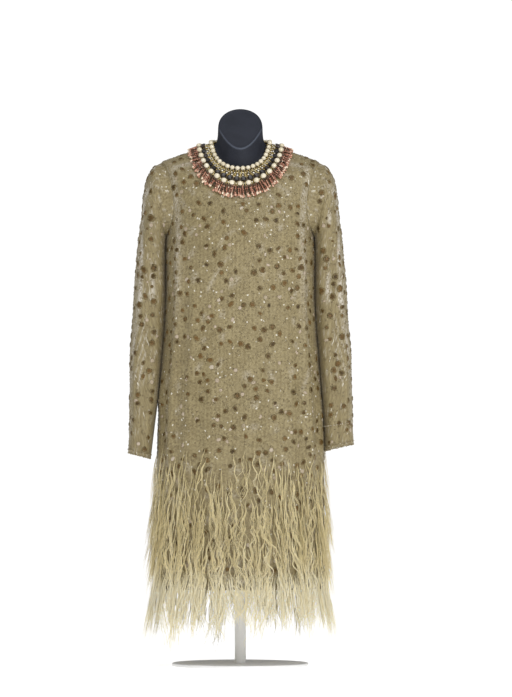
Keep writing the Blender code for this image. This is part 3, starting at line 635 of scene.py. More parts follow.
def clothSheet(name, points, normals, closedRound, uv, paintedGlint):
    rows, columns = points.shape[:2]
    faces = gridFaces(rows, columns, closedRound)
    cornerUv = uv.reshape(-1, 2)[gridFaces(rows, uv.shape[1])]
    if facesIn(points, faces, normals):
        faces, cornerUv = faces[:, ::-1], cornerUv[:, ::-1]
    piece = makePiece(name, points, faces, [beadedSilk, silkLining], values={"paintedGlint": paintedGlint},
                      cornerUv=cornerUv)
    wall = piece.modifiers.new("cloth", "SOLIDIFY")
    wall.thickness, wall.offset, wall.material_offset, wall.material_offset_rim = dress["cloth"], -1, 1, 0
    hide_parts(name.replace("cloth_", ""))


def makePanel(name, side, start, end, columns, middleColumn):
    levels = panelLevels()[:, None]
    share = np.linspace(start, end, columns + 1)[None]
    width = math.pi - 2 * armholeAngle(levels)
    trim = dress["seamGap"] / 2 / readColumns(dress["rings"], levels)[..., 0] / width
    share = share + trim * np.concatenate([[1], np.zeros(columns - 1), [-1]])[None]
    angles = panelAngle(levels, share, side)
    points, normals, _, _ = dressFrame(levels, angles)
    paintedGlint = panelTraits(levels + 0 * angles, angles)[0]
    clothSheet(name, points, normals, False, metricUv(points, middleColumn), paintedGlint)


halfColumns = panels["columns"] // 2
makePanel("cloth_front", -1, 0.0, 1.0, panels["columns"], halfColumns)
makePanel("cloth_back_left", 1, 0.0, 0.5, halfColumns, halfColumns)
makePanel("cloth_back_right", 1, 0.5, 1.0, halfColumns, 0)
print("front and backs hung")


# sleeves
sleeveCut = {"round": 80, "along": 92}


def makeSleeve(name, hand):
    station = np.linspace(0, lastStation, sleeveCut["along"])[:, None]
    turn = math.pi + roundTurns(sleeveCut["round"])[None]
    points, normals, _, _ = sleeveFrame(station, turn, hand)
    uv = metricUv(np.concatenate([points, points[:, :1]], 1), sleeveCut["round"] // 2)
    clothSheet(name, points, normals, True, uv, sleeveTraits(*np.broadcast_arrays(station, turn))[0])


makeSleeve("cloth_sleeve_left", 1)
makeSleeve("cloth_sleeve_right", -1)
print("sleeves set in")

# collar
collar = {
    "centre": np.array([0.0, -0.001, 1.121]), "lean": math.radians(24.4), "lineDrop": 0.130,
    "widthSide": 0.057, "widthFront": 0.081, "widthBack": 0.072,
    "bandHeight": 3.2 * mm, "bandThickness": 2.0 * mm,
    "innerPearl": 5.3 * mm, "innerPitch": 12.3 * mm, "innerAcross": 0.075,
    "outerPearl": 6.1 * mm, "outerPitch": 17.9 * mm, "outerAcross": 0.565,
    "stoneAcross": 0.405, "stoneHalf": 5.2 * mm,
    "strandPitch": 5.4 * mm, "strandStart": 0.62, "strandEnd": 1.02,
    "bearings": 360, "steps": 24, "opening": 0.004,
}


# level and angle round the dress for a bearing on the collar's leaning axis: found by halving the range
def collarAngles(level, bearing):
    mirrored = np.cos(bearing) < 0
    wanted = np.where(mirrored, math.pi - bearing, bearing)
    wanted = np.arctan2(np.sin(wanted), np.cos(wanted))
    low, high = np.full_like(wanted, -math.pi / 2), np.full_like(wanted, math.pi / 2)
    for _ in range(20):
        angle = (low + high) / 2
        away = dressPoint(level, angle, False) - collar["centre"]
        rise = away[..., 1] * math.cos(collar["lean"]) + away[..., 2] * math.sin(collar["lean"])
        short = np.arctan2(rise, away[..., 0]) < wanted
        low, high = np.where(short, angle, low), np.where(short, high, angle)
    return np.where(mirrored, math.pi - angle, angle)


# table of the collar's ground: for each bearing, the lines down the dress and the travel along them
collarBearings = math.radians(90) + np.linspace(0, 2 * math.pi, collar["bearings"] + 1)
collarSteps = dress["neckline"] - collar["lineDrop"] * np.linspace(0, 1, collar["steps"] + 1) ** 1.5
collarTable = [side.copy() for side in np.broadcast_arrays(collarSteps[None], collarBearings[:, None])]
collarTurn = collarAngles(*collarTable)
collarLine = dressPoint(collarTable[0], collarTurn, False)
collarTravel = np.cumsum(lengths(np.diff(collarLine, axis=1)), axis=1)
collarTravel = np.concatenate([np.zeros((len(collarBearings), 1)), collarTravel], 1)
collarTurn = np.unwrap(collarTurn, axis=0)
middleRow = collar["bearings"] // 2
turnsOff = (collarTurn[middleRow, 0] - collarBearings[middleRow]) / (2 * math.pi)
collarTurn -= 2 * math.pi * round(float(turnsOff))


def collarPlace(bearing, across):  # level and angle of a place on the collar, read from the table
    along = np.sin(bearing)
    endWidth = np.where(along < 0, collar["widthFront"], collar["widthBack"])
    distance = (collar["widthSide"] + (endWidth - collar["widthSide"]) * along * along) * across
    column = (bearing - collarBearings[0]) / (2 * math.pi) * collar["bearings"]
    column = np.clip(column, 0, collar["bearings"] - 0.001)
    i = column.astype(int)
    f = column - i
    out = []
    for k in (i, i + 1):
        travel = collarTravel[k]
        j = np.clip((travel <= distance[..., None]).sum(-1) - 1, 0, collar["steps"] - 1)
        near = np.take_along_axis(travel, j[..., None], -1)[..., 0]
        far = np.take_along_axis(travel, j[..., None] + 1, -1)[..., 0]
        t = (distance - near) / (far - near)
        out.append((collarSteps[j] + t * (collarSteps[j + 1] - collarSteps[j]),
                    collarTurn[k, j] + t * (collarTurn[k, j + 1] - collarTurn[k, j])))
    return tuple(out[0][n] * (1 - f) + out[1][n] * f for n in (0, 1))


# a place on the collar with its normal, the way round and the way down
def collarFrame(bearing, across):
    bearing, across = np.broadcast_arrays(np.asarray(bearing, float), np.asarray(across, float))
    level, angle = collarPlace(bearing, across)
    point, out, _, _ = dressFrame(level, angle, False)
    ahead = dressPoint(*collarPlace(bearing + 0.02, across), False)
    behind = dressPoint(*collarPlace(bearing - 0.02, across), False)
    around = square(ahead - behind, out)
    return point, out, around, np.cross(out, around) * -1


def collarRound(count):  # bearings all round but for the opening at the centre back
    return collarBearings[0] + np.linspace(collar["opening"], 2 * math.pi - collar["opening"], count)


# bearings of evenly spaced places along one line of the collar, counted out from the centre front
def collarSpacing(across, pitch, offset):
    bearing = collarRound(1441)
    points = dressPoint(*collarPlace(bearing, np.full_like(bearing, across)), False)
    travel = np.concatenate([[0], np.cumsum(lengths(np.diff(points, axis=0)))])
    half = travel[-1] / 2
    count = int(round((half - pitch * (0.5 - offset)) / pitch - 0.5))
    step = half / (count + 0.5 + offset)
    places = half + step * (np.arange(-count - (1 if offset else 0), count + 1) + offset)
    return np.interp(places, travel, bearing)


# a row on the collar: how many places, and each one's point on the band, normal, way round and way down
def collarRow(across, pitch, offset, shown=None):
    places = collarSpacing(across, pitch, offset)
    point, out, around, down = collarFrame(places, np.full_like(places, across if shown is None else shown))
    return len(places), point + out * collar["bandHeight"], out, around, down


chance = np.random.default_rng(5)


# parts are stamped sets, each with a chance value for every copy in it
def addBeads(name, parts, material, smooth=True):
    points, faces = joinShapes([part[0] for part in parts])
    values = np.concatenate([np.repeat(part[1], len(part[0][0]) // len(part[1])) for part in parts])
    makePiece(name, points, faces, [material], smooth, values={"chance": values})


def makeBand():  # band of net, a grid over bearing and across with a soft swell, thickened below
    rows, columns = 181, 17
    bearing = collarRound(rows)[:, None]
    across = np.linspace(-0.005, 0.86, columns)[None]
    point, out, _, _ = collarFrame(bearing, across)
    height = collar["bandHeight"] + 0.5 * mm * np.sin(across * 40) * np.ones_like(bearing)
    points = point + out * height[..., None]
    faces = gridFaces(rows, columns)
    if facesIn(points, faces, out):
        faces = faces[:, ::-1]
    band = makePiece("collar_band", points, faces, [netCloth],
                     values={"chance": np.full((rows, columns), 0.35)})
    wall = band.modifiers.new("net", "SOLIDIFY")
    wall.thickness, wall.offset = collar["bandThickness"], -1
    uv = metricUv(points.transpose(1, 0, 2), rows // 2)
    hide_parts("collar")


def makePearls():  # inner row of round pearls and outer row of larger ones
    rows = []
    for key, offset in (("inner", 0.5), ("outer", 0.0)):
        count, ground, out, around, down = collarRow(collar[key + "Across"], collar[key + "Pitch"], offset)
        radius = collar[key + "Pearl"] * chance.uniform(0.95, 1.04, count)[:, None]
        stamped = stamp(ballShape(16, 10), ground + out * radius * 0.72, around, down, out,
                        radius * np.array([1, 0.97, 0.95]))
        rows.append((stamped, chance.uniform(0.2, 0.9, count)))
    addBeads("collar_pearls", rows, pearl)


def makeStones():  # square stones between the outer pearls, a flat table with sloping sides
    count, ground, out, around, down = collarRow(collar["outerAcross"], collar["outerPitch"], 0.5,
                                                 collar["stoneAcross"])
    stone = turnedShape([(0, 0), (0.96, 0), (1.0, 0.35), (0.62, 0.80), (0, 0.84)], 16, corner=5)
    half = collar["stoneHalf"] * chance.uniform(0.93, 1.08, count)[:, None]
    stamped = stamp(stone, ground + out * 1.6 * mm, around, down, out, half * np.array([1.0, 1.05, 1.0]))
    addBeads("collar_stones", [(stamped, chance.uniform(0.1, 0.9, count))], jetStone, smooth=False)


def makeCrystals():  # small faceted crystals over the filigree and between the outer pearls
    gems = []
    facet = turnedShape([(0, 0), (1.0, 0), (1.0, 0.3), (0.55, 0.85), (0, 0.9)], 8)
    for across, pitch, offset, size, lift in (
            (0.215, 6.15 * mm, 0.0, 1.7 * mm, 0.4 * mm), (0.29, 12.3 * mm, 0.5, 2.6 * mm, 0.6 * mm),
            (0.545, 17.9 * mm, 0.5, 1.9 * mm, 0.2 * mm), (0.345, 12.3 * mm, 0.0, 1.7 * mm, 0.4 * mm)):
        count, ground, out, _, down = collarRow(across, pitch, offset)
        tilt = unit(out + 0.25 * chance.normal(size=out.shape))
        side = unit(np.cross(down, tilt))
        stamped = stamp(facet, ground + out * lift, side, np.cross(tilt, side), tilt, size)
        gems.append((stamped, chance.uniform(0.1, 1.0, count)))
    addBeads("collar_crystals", gems, crystal)


# a ring of wire: a small circle carried round a large one
def loopShape(steps, sides, thickness):
    big, small = roundTurns(steps)[:, None], roundTurns(sides)[None]
    reach = 1 + thickness * np.cos(small)
    ring = np.stack([reach * np.cos(big), reach * np.sin(big), thickness * np.sin(small) + 0 * big], -1)
    near, far = np.arange(sides), (np.arange(sides) + 1) % sides
    wrap = np.stack([(steps - 1) * sides + near, (steps - 1) * sides + far, far, near], -1)
    return ring.reshape(-1, 3), [np.concatenate([gridFaces(steps, sides, True), wrap])[:, ::-1]]


def makeFiligree():  # gilt loops that stand on the band, then rows of small gilt beads
    wires = []
    for across, pitch, offset, wide, tall in ((0.275, 12.3 * mm, 0.5, 5.4 * mm, 7.0 * mm),
                                              (0.275, 12.3 * mm, 0.0, 2.6 * mm, 6.2 * mm),
                                              (0.565, 17.9 * mm, 0.0, 7.4 * mm, 7.0 * mm)):
        count, ground, out, around, down = collarRow(across, pitch, offset)
        stamped = stamp(loopShape(14, 5, 0.17), ground + out * 0.5 * mm, around, down, out,
                        (wide, tall, 5 * mm))
        wires.append((stamped, chance.uniform(0.1, 0.9, count)))
    for across, pitch, offset, size in ((0.0, 6.0 * mm, 0.0, 1.9 * mm), (0.155, 6.15 * mm, 0.5, 1.7 * mm),
                                        (0.50, 8.95 * mm, 0.5, 1.9 * mm), (0.315, 8.95 * mm, 0.0, 1.6 * mm)):
        count, ground, out, around, down = collarRow(across, pitch, offset)
        stamped = stamp(ballShape(8, 6), ground + out * size * 0.6, around, down, out, size)
        wires.append((stamped, chance.uniform(0.0, 1.0, count)))
    addBeads("collar_filigree", wires, goldWire)


# coral strands: long beads end to end from the outer pearls to the edge, an under layer painted darker,
# partly its own colour and partly painted shade under the upper strands, and an upper one
def makeStrands():
    bar = turnedShape([(0, -1.0), (0.72, -0.93), (1.0, -0.5), (1.0, 0.5), (0.72, 0.93), (0, 1.0)], 5)
    start, strands = collar["strandStart"], []
    for offset, lift, reach, darker in ((0.5, 1.2 * mm, 0.97, 0.28), (0.0, 3.0 * mm, 1.0, 0)):
        places = collarSpacing(0.82, collar["strandPitch"], offset)
        count = len(places)
        sway = chance.normal(0, 0.040, count)
        finish = start + (collar["strandEnd"] - start) * reach * chance.uniform(0.84, 1.05, count)
        for near, far, wide, tone in ((0.02, 0.26, 1.5 * mm, 0.17), (0.28, 0.38, 1.8 * mm, 0.52),
                                      (0.40, 0.66, 1.5 * mm, 0.38), (0.68, 0.80, 1.6 * mm, 0.55),
                                      (0.82, 1.0, 2.3 * mm, 0.88)):
            ends = []
            for share in (near, far):
                point, out, _, _ = collarFrame(places + sway * share, start + (finish - start) * share)
                height = lift + 1.2 * mm + collar["bandHeight"] * (1 - 0.55 * share)
                ends.append((point + out * height, out))
            (top, out), (tip, _) = ends
            along = unit(tip - top)
            out = square(out, along)
            width = wide * chance.uniform(0.85, 1.12, count)
            # the under layer is darker: partly painted shade under the upper strands
            shade = np.clip(tone + chance.normal(0, 0.20, count) - darker, 0, 1)
            sizes = np.stack([width, width, lengths(tip - top) / 2], -1)
            strands.append((stamp(bar, (top + tip) / 2, out, np.cross(along, out), along, sizes), shade))
    addBeads("collar_strands", strands, coral)


makeBand()
makePearls()
makeStones()
makeCrystals()
makeFiligree()
makeStrands()
print("collar beaded")

# rosettes, pale discs and small sequins sewn over the cloth
sewn = {
    "rosetteSmall": 5.0 * mm, "rosetteLarge": 7.8 * mm, "rosetteHeight": 1.5 * mm, "sequinRadius": 1.5 * mm,
    "kinds": {  # area for each one, least spacing, clearance from the collar
        "rosettes": (790 * mm * mm, 15.5 * mm, 7 * mm), "pale": (3100 * mm * mm, 18 * mm, 5 * mm),
        "sequins": (40 * mm * mm, 0, 5 * mm),
    },
    "margins": {  # from an edge, from the back seam, degrees off a sleeve's inner side, stations to the cuff
        "rosettes": (10 * mm, 12 * mm, 52, 0.16), "pale": (10 * mm, 12 * mm, 52, 0.16),
        "sequins": (3 * mm, 6 * mm, 25, 0.06),
    },
    "bodyRadius": 0.16,
}


# lumpy rosettes on a polar grid: the outline swells in lobes, the height is a dome or a ring with a low
# middle; each ring has its radius, its height as a dome or a ring, and its rim value
def rosetteShape(lobes, swell, ringed, squash):
    sectors = 12
    turn = roundTurns(sectors)
    rings, rim = [], [1.0]
    for radius, domed, hollow, value in ((1.0, 0.05, 0.05, 1.0), (0.70, 0.78, 1.0, 0.7),
                                         (0.34, 0.95, 0.55, 0.34)):
        reach = radius * (1 + swell * radius * np.cos(lobes * turn))
        high = (hollow if ringed else domed) * (1 + 0.25 * np.cos((lobes + 2) * turn + radius * 4))
        rings.append(np.stack([reach * np.cos(turn), squash * reach * np.sin(turn), high], -1))
        rim += [value] * sectors
    return closedRings(rings, [0, 0, -0.1], [0, 0, 0.45 if ringed else 1.0]), np.array(rim + [0.0])


rosetteKinds = [rosetteShape(6, 0.07, False, 0.94), rosetteShape(2, 0.16, False, 0.84),
                rosetteShape(5, 0.08, True, 0.95), rosetteShape(3, 0.12, False, 0.95)]


def cellAreas(points):
    return lengths(np.cross(points[1:, :-1] - points[:-1, :-1], points[:-1, 1:] - points[:-1, :-1]))


# places spread evenly by area over a grid of two values, thinned to a least spacing
def scatter(points, first, second, count, spacing, rng):
    cells = cellAreas(points)
    share = np.cumsum(cells.ravel()) / cells.sum()
    pick = np.searchsorted(share, rng.random(count))
    row, column = np.divmod(pick, cells.shape[1])
    s, t = rng.random(count), rng.random(count)

    def read(table):
        return ((table[row, column] * (1 - s) + table[row + 1, column] * s) * (1 - t)
                + (table[row, column + 1] * (1 - s) + table[row + 1, column + 1] * s) * t)

    one, two = read(first), read(second)
    if not spacing:
        return one, two
    place = np.stack([read(points[..., axis]) for axis in range(3)], -1)
    kept = []
    for i in range(count):
        if not kept or np.min(np.sum((place[kept] - place[i]) ** 2, -1)) > spacing * spacing:
            kept.append(i)
    return one[kept], two[kept]


collarGuard = collarFrame(collarBearings[::3, None], np.linspace(0, 1.0, 9)[None])[0].reshape(-1, 3)


def clearOfCollar(points, reach):
    near = points[:, 2] > 0.99
    clear = np.ones(len(points), bool)
    clear[near] = lengths(points[near][:, None] - collarGuard[None]).min(-1) > reach
    return clear


# first and second are the two values that place a point on the cloth, such as level and angle
def sewOn(name, points, first, second, frameOf, keep, traits, seed):
    rng = np.random.default_rng(seed)
    area = cellAreas(points).sum()
    for kind, (share, spacing, clearance) in sewn["kinds"].items():
        wanted = int(area / share)
        one, two = scatter(points, first, second, wanted * (3 if spacing else 1), spacing, rng)
        one, two = one[:wanted], two[:wanted]
        place, out, around, up = frameOf(one, two)
        paintedGlint, dense = traits(one, two)
        good = keep(one, two, kind) & clearOfCollar(place, clearance)
        if kind == "rosettes":
            good &= rng.random(len(good)) < dense
        elif kind == "sequins":
            good &= rng.random(len(good)) < 0.35 + 0.65 * paintedGlint
        place, out, around, up = place[good], out[good], around[good], up[good]
        count = len(place)
        spin = rng.uniform(0, 2 * math.pi, count)[:, None]
        side = around * np.cos(spin) + up * np.sin(spin)
        if kind == "sequins":
            sewSequins(name, place, out, side, paintedGlint[good], rng)
        else:
            sewRosettes(f"{name}_{kind}", place, out, side, kind == "pale", rng)


def sewSequins(name, place, out, side, paintedGlint, rng):  # flat cones of five sides, each tilted a little
    out = unit(out + rng.normal(0, 0.16, out.shape))
    side = square(side, out)
    shape = turnedShape([(0, -0.6), (1.0, 0.12), (0, 0.42)], 5)
    radius = sewn["sequinRadius"] * rng.uniform(0.7, 1.25, len(place))
    stamped = stamp(shape, place + out * 0.35 * mm, side, np.cross(out, side), out, radius[:, None])
    # sequins painted paler where the painted glint is high: painted highlight
    tone = np.clip(rng.beta(1.2, 5.0, len(place)) + 0.75 * paintedGlint * rng.random(len(place)), 0, 1)
    addBeads(f"{name}_sequins", [(stamped, tone)], smallSequin)


def sewRosettes(name, place, out, side, pale, rng):
    count = len(place)
    across = np.cross(out, side)
    parts, values, rims, eyes = [], [], [], []
    which = rng.integers(0, len(rosetteKinds), count)
    radius = rng.uniform(sewn["rosetteSmall"], sewn["rosetteLarge"], count) * (0.72 if pale else 1)
    tone = rng.beta(1.8, 2.4, count)
    for k, (shape, rim) in enumerate(rosetteKinds):
        mine = which == k
        number, corners = mine.sum(), len(shape[0])
        high = sewn["rosetteHeight"] * rng.uniform(0.7, 1.1, number) * (0.6 if pale else 1)
        sizes = np.stack([radius[mine], radius[mine], high], -1)
        parts.append(stamp(shape, place[mine], side[mine], across[mine], out[mine], sizes))
        values.append(np.repeat(tone[mine], corners))
        rims.append(np.tile(rim, number))
        eyes.append(np.repeat((0.9 if k == 2 else 0.0) * rng.uniform(0.3, 1, number), corners))
    points, faces = joinShapes(parts)
    traits = {"chance": values, "rim": rims, "eye": eyes}
    makePiece(name, points, faces, [paleSequin if pale else rosetteThread],
              values={key: np.concatenate(group) for key, group in traits.items()})


def awayFrom(angle, middle):  # the angle between two bearings, whichever way is shorter
    return np.abs(np.angle(np.exp(1j * (angle - middle))))


# free of the underarm side, the armhole seams, the hem and the centre back seam
def keepOnPanel(level, angle, kind):
    margin, seam, _, _ = sewn["margins"][kind]
    aside = np.abs(np.abs(np.degrees(angle)) % 180 - 90)
    underArm = (aside > 76) & (level > 0.47) & (level < 0.97) & (kind != "sequins")
    fromHole = np.minimum(awayFrom(angle, 0), awayFrom(angle, math.pi)) - armholeAngle(level)
    edge = (fromHole * sewn["bodyRadius"] < margin) & (level > 0.93)
    middleBack = np.abs(angle - math.pi / 2) * sewn["bodyRadius"] < seam
    return ~underArm & ~edge & (level > dress["hem"] + margin) & ~middleBack


def keepOnSleeve(station, turn, kind):  # free of the side towards the body, the armhole and the cuff
    _, _, inside, cuff = sewn["margins"][kind]
    inner = awayFrom(turn, math.pi) < math.radians(inside)
    return ~inner & (station > 0.8) & (station < lastStation - cuff)


gridLevels = panelLevels()[:, None] + np.zeros((1, 61))
for name, side, seed in (("front", -1, 21), ("back", 1, 22)):
    angles = panelAngle(gridLevels, np.linspace(0, 1, 61)[None], side)
    sewOn(name, dressPoint(gridLevels, angles), gridLevels, angles, dressFrame, keepOnPanel, panelTraits,
          seed)
for name, hand, seed in (("sleeve_left", 1, 23), ("sleeve_right", -1, 24)):
    stations, turns = np.meshgrid(np.linspace(0, lastStation, 73), np.linspace(-math.pi, math.pi, 49),
                                  indexing="ij")
    sewOn(name, sleevePoint(stations, turns, hand), stations, turns, partial(sleeveFrame, hand=hand),
          keepOnSleeve, sleeveTraits, seed)
print("rosettes and sequins sewn on")


# cuff beads
def makeCuffs():  # rows of station, count and size: along the edge, and on the left one above a band
    parts = []
    for hand in (1, -1):
        rows = [(12.0, 84, 1.5 * mm), (11.9, 84, 1.2 * mm)] + ([(11.2, 96, 1.2 * mm)] if hand > 0 else [])
        for station, count, size in rows:
            lowest, band = station == lastStation, station < 11.5
            turn = np.linspace(0, 2 * math.pi, count, endpoint=False) + chance.normal(0, 0.012, count)
            place, out, around, up = sleeveFrame(np.full(count, station), turn, hand)
            radius = (size * chance.uniform(0.75, 1.2, count))[:, None]
            hanging = chance.uniform(0, 2.2 * mm, count)[:, None] if lowest else 0
            centres = place - up * hanging + out * (-0.8 * mm if lowest else radius * 0.3)
            # the row above the band is painted paler: a painted highlight along the band's edge
            parts.append((stamp(ballShape(6, 4), centres, around, up, out, radius),
                          chance.beta(1.5, 3.5, count) + (0.3 if band else 0)))
    addBeads("cuff_beads", parts, smallSequin)


makeCuffs()
print("cuffs edged")

# feather fringe
fringe = {
    "tiers": [  # level, shortest, longest, plumes, spread of the roots downwards, width, lean, lightness
        (0.482, 0.090, 0.150, 240, 0.085, 0.8, 0.55, -0.04), (0.402, 0.115, 0.150, 500, 0.080, 1, 1, 0.00),
        (0.306, 0.115, 0.150, 480, 0.055, 1, 1, 0.16), (0.210, 0.112, 0.178, 720, 0.012, 1, 1, 0.30),
    ],
    "barbs": 5,  # a plume
    "segments": 7, "halfWidth": 0.62 * mm, "flare": 0.23, "onCloth": 1.0 * mm, "wave": 4.2 * mm,
    "plumeWidth": 1.5 * mm, "clumpPitch": 37 * mm, "skirtRound": 1.02, "skirtRadius": 0.165,
}


# a plume hangs from the skirt in a slow wave, drawn in to the tip of its clump and leaning off the cloth;
# its barbs are thin three-sided strands that leave its line one below the other and follow the same wave
def makeTier(number, tier, seed):
    rng = np.random.default_rng(seed)
    level, shortest, longest, plumes, spread, width, lean, lightness = tier
    barbs, radius, circle = fringe["barbs"], fringe["skirtRadius"], 2 * math.pi
    clumps = int(round(fringe["skirtRound"] / fringe["clumpPitch"]))
    clumpAngle = (np.arange(clumps) + rng.uniform(-0.3, 0.3, clumps)) * circle / clumps
    clumpLength = rng.uniform(shortest, longest, clumps)
    own = {
        "angle": (np.arange(plumes) + rng.uniform(-0.7, 0.7, plumes)) * circle / plumes,
        "root": level - spread * rng.beta(1.3, 1.2, plumes), "pull": rng.uniform(0.50, 1.0, plumes),
        "wave": fringe["wave"] * rng.uniform(0.35, 1.35, plumes) / radius,
        "cycles": rng.uniform(1.2, 2.9, plumes), "phase": rng.uniform(0, circle, plumes),
        "drift": rng.normal(0, 0.055, plumes),
        "lean": fringe["flare"] * lean * rng.uniform(0.20, 1.0, plumes),
        "tone": rng.beta(2.0, 2.0, plumes), "layer": rng.uniform(0, 3.5 * mm, plumes),
    }
    mine = np.round(own["angle"] / circle * clumps).astype(int) % clumps
    own["target"] = np.angle(np.exp(1j * (clumpAngle[mine] - own["angle"])))
    own["length"] = clumpLength[mine] * rng.uniform(0.72, 1.0, plumes)
    count = plumes * barbs
    own = {key: np.repeat(value, barbs)[:, None] for key, value in own.items()}

    def each(low, high):  # a chance value for each strand, as a column
        return rng.uniform(low, high, count)[:, None]

    t = np.linspace(0, 1, fringe["segments"] + 1)[None]
    start = (rng.beta(1.0, 1.7, count) * 0.55)[:, None]
    start[::barbs] = 0
    s = start + (np.clip(start + each(0.40, 0.80), 0, 1.0) - start) * t
    side = rng.normal(0, 1, count)[:, None]
    fanned = ease(t * 1.6) * (0.35 + 0.65 * np.sin(math.pi * s * 0.9))
    opening = fringe["plumeWidth"] / radius * side * fanned
    ripple = each(0.2, 0.9) * mm / radius * np.sin(each(0, 6) + t * each(5, 12))
    swing = np.sin(own["phase"] + own["cycles"] * circle * s) - np.sin(own["phase"])
    angle = (own["angle"] + own["target"] * own["pull"] * s ** 1.5 + own["drift"] * s
             + own["wave"] * swing * np.sqrt(s + 0.02) + opening + ripple)
    down = own["root"] - own["length"] * s
    out = (fringe["onCloth"] + own["layer"] * ease(s * 4) + own["lean"] * own["length"] * s ** 1.15
           + each(0, 2.0 * mm) * ease(t * 3))
    place, normal, _, _ = dressFrame(down, angle, True)
    line = place + normal * out[..., None]
    along = unit(np.gradient(line, axis=1))
    face = square(normal, along)
    across = np.cross(along, face)
    taper = (1 - 0.75 * t ** 1.5) * (0.6 + 0.4 * ease(t * 5))
    half = (fringe["halfWidth"] * width * each(0.6, 1.3) * taper)[..., None]
    points = np.stack([line + across * half, line + face * half * 0.6, line - across * half], 2)
    steps = fringe["segments"] + 1
    base = (np.arange(count) * steps * 3)[:, None, None]
    wall = base + gridFaces(steps, 3, True)[None, :, ::-1]
    tip = base + (steps - 1) * 3
    ends = np.concatenate([base + np.array([[[0, 1, 2]]]), tip + np.array([[[2, 1, 0]]])], 1)
    tone = np.clip(own["tone"][:, 0] * 0.75 + rng.normal(lightness, 0.13, count), 0, 1)
    # painted light: strands below about a quarter metre are painted paler, more so toward their tips, for
    # light shining through them
    pale = 0.30 * t * np.ones((count, 1)) + 0.85 * ease((0.25 - down) / 0.09)
    piece = makePiece(f"feathers_tier_{number}", points, [wall.reshape(-1, 4), ends.reshape(-1, 3)],
                      [feather], values={"chance": np.repeat(tone, steps * 3),
                                                    "down": np.repeat(pale.ravel(), 3)})
    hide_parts(f"fringe_tier_{number}")


for number, tier in enumerate(fringe["tiers"], start=1):
    makeTier(number, tier, 40 + number)
print("feathers sewn on")

# dress form: torso inside the dress, neck with a slanting cut
form = {
    "insets": [  # level, side, front, back
        (0.476, 0.0110, 0.0110, 0.0100), (0.484, 0.0070, 0.0070, 0.0065), (0.560, 0.0070, 0.0070, 0.0070),
        (0.640, 0.0180, 0.0130, 0.0100), (0.700, 0.0290, 0.0210, 0.0150), (0.760, 0.0340, 0.0270, 0.0180),
        (0.830, 0.0200, 0.0150, 0.0120), (0.880, 0.0070, 0.0060, 0.0060), (0.915, 0.0040, 0.0040, 0.0045),
        (0.950, 0.0040, 0.0042, 0.0045), (0.990, 0.0040, 0.0040, 0.0040), (1.030, 0.0040, 0.0040, 0.0040),
        (1.070, 0.0037, 0.0037, 0.0037), (1.095, 0.0035, 0.0035, 0.0036), (1.108, 0.0032, 0.0032, 0.0035),
        (1.118, 0.0030, 0.0030, 0.0032), (1.128, 0.0029, 0.0029, 0.0030), (1.138, 0.0028, 0.0028, 0.0028),
        (1.148, 0.0034, 0.0034, 0.0034),
    ],
    "neck": [(0.18, 0.0530, 0.0512, 0.0478), (0.42, 0.0505, 0.0505, 0.0465), (0.70, 0.0495, 0.0500, 0.0460),
             (1.00, 0.0490, 0.0495, 0.0455)],  # rise, half width, front, back
    "cutHeight": 1.182, "cutSlope": 0.97, "columns": 96, "neckRows": 25,
    "levels": [(0.476, 0.486, 5), (0.492, 1.10, 60), (1.108, 1.148, 12)],  # first, last, number
    "cap": [(0.997, 1.2), (0.988, 2.3), (0.972, 3.1), (0.952, 3.4), (0.930, 3.1), (0.908, 2.5), (0.885, 2.1),
            (0.860, 2.0), (0.78, 2.2), (0.6, 2.9), (0.4, 3.6), (0.2, 4.1), (0.08, 4.3)],  # share, lift in mm
    # painted rim highlight: how strongly the front of the cut is painted pale; cap tone: a faint paler tint
    # over the cap
    "capMiddle": 4.35 * mm, "paintedRimHighlight": 0.7, "capTone": 0.06,
}


def makeForm():
    turn = roundTurns(form["columns"])
    along = np.sin(turn)
    levels = np.concatenate([np.linspace(*part) for part in form["levels"]])[:, None]
    inset = readColumns(form["insets"], levels[:, 0])
    facing = np.where(along < 0, inset[:, 1:2], inset[:, 2:3])
    depth = inset[:, 0:1] + (facing - inset[:, 0:1]) * along ** 2
    point, out, _, _ = dressFrame(levels, turn[None], False)
    torso = point - out * depth[..., None]
    base = torso[-1]
    keys = [np.concatenate([[0.0], base[:, 0], base[:, 1]])]
    for rise, half, front, back in form["neck"]:
        reach = np.abs(along)
        y = np.where(along < 0, -front * reach ** (1 + 0.9 * rise), back * reach ** (1 - 0.15 * rise))
        keys.append(np.concatenate([[rise], half * np.cos(turn), y]))
    rises = np.linspace(0, 1, form["neckRows"] + 1)[1:]
    read = readColumns(keys, rises)
    x, y = read[:, :len(turn)], read[:, len(turn):]
    cut = form["cutHeight"] + form["cutSlope"] * y
    neck = np.stack([x, y, base[None, :, 2] + (cut - base[None, :, 2]) * rises[:, None]], -1)
    rim = neck[-1]
    middle = rim.mean(0)
    normal = unit(np.array([0, -form["cutSlope"], 1]))
    share, lift = np.array(form["cap"]).T[:, :, None, None]
    cap = middle + (rim - middle)[None] * share + normal * lift * mm
    points, faces = closedRings([*torso, *neck, *cap], torso[0].mean(0), middle + normal * form["capMiddle"])
    capStart = len(torso) + len(neck)
    # painted highlight along the front of the rim, and a faint paler tint over the cap beyond it
    nearRim = np.exp(-((np.arange(capStart + len(cap)) - capStart - 1.5) / 1.8) ** 2)
    edge = nearRim[:, None] * ease(-along * 1.5)[None] * form["paintedRimHighlight"]
    edge[capStart + 4:] = form["capTone"]
    piece = makePiece("padded_form", points, faces, [jersey],
                      values={"edge": np.concatenate([[0], edge.ravel(), [form["capTone"]]])})
    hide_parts("dress_form")


makeForm()
print("dress form padded")

# stand and zip
for name, material in (("stand_base", enamel), ("stand_pole", enamel), ("stand_socket", enamel),
                       ("back_zip", zipTape)):
    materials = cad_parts[name].data.materials
    materials.clear()
    materials.append(material)

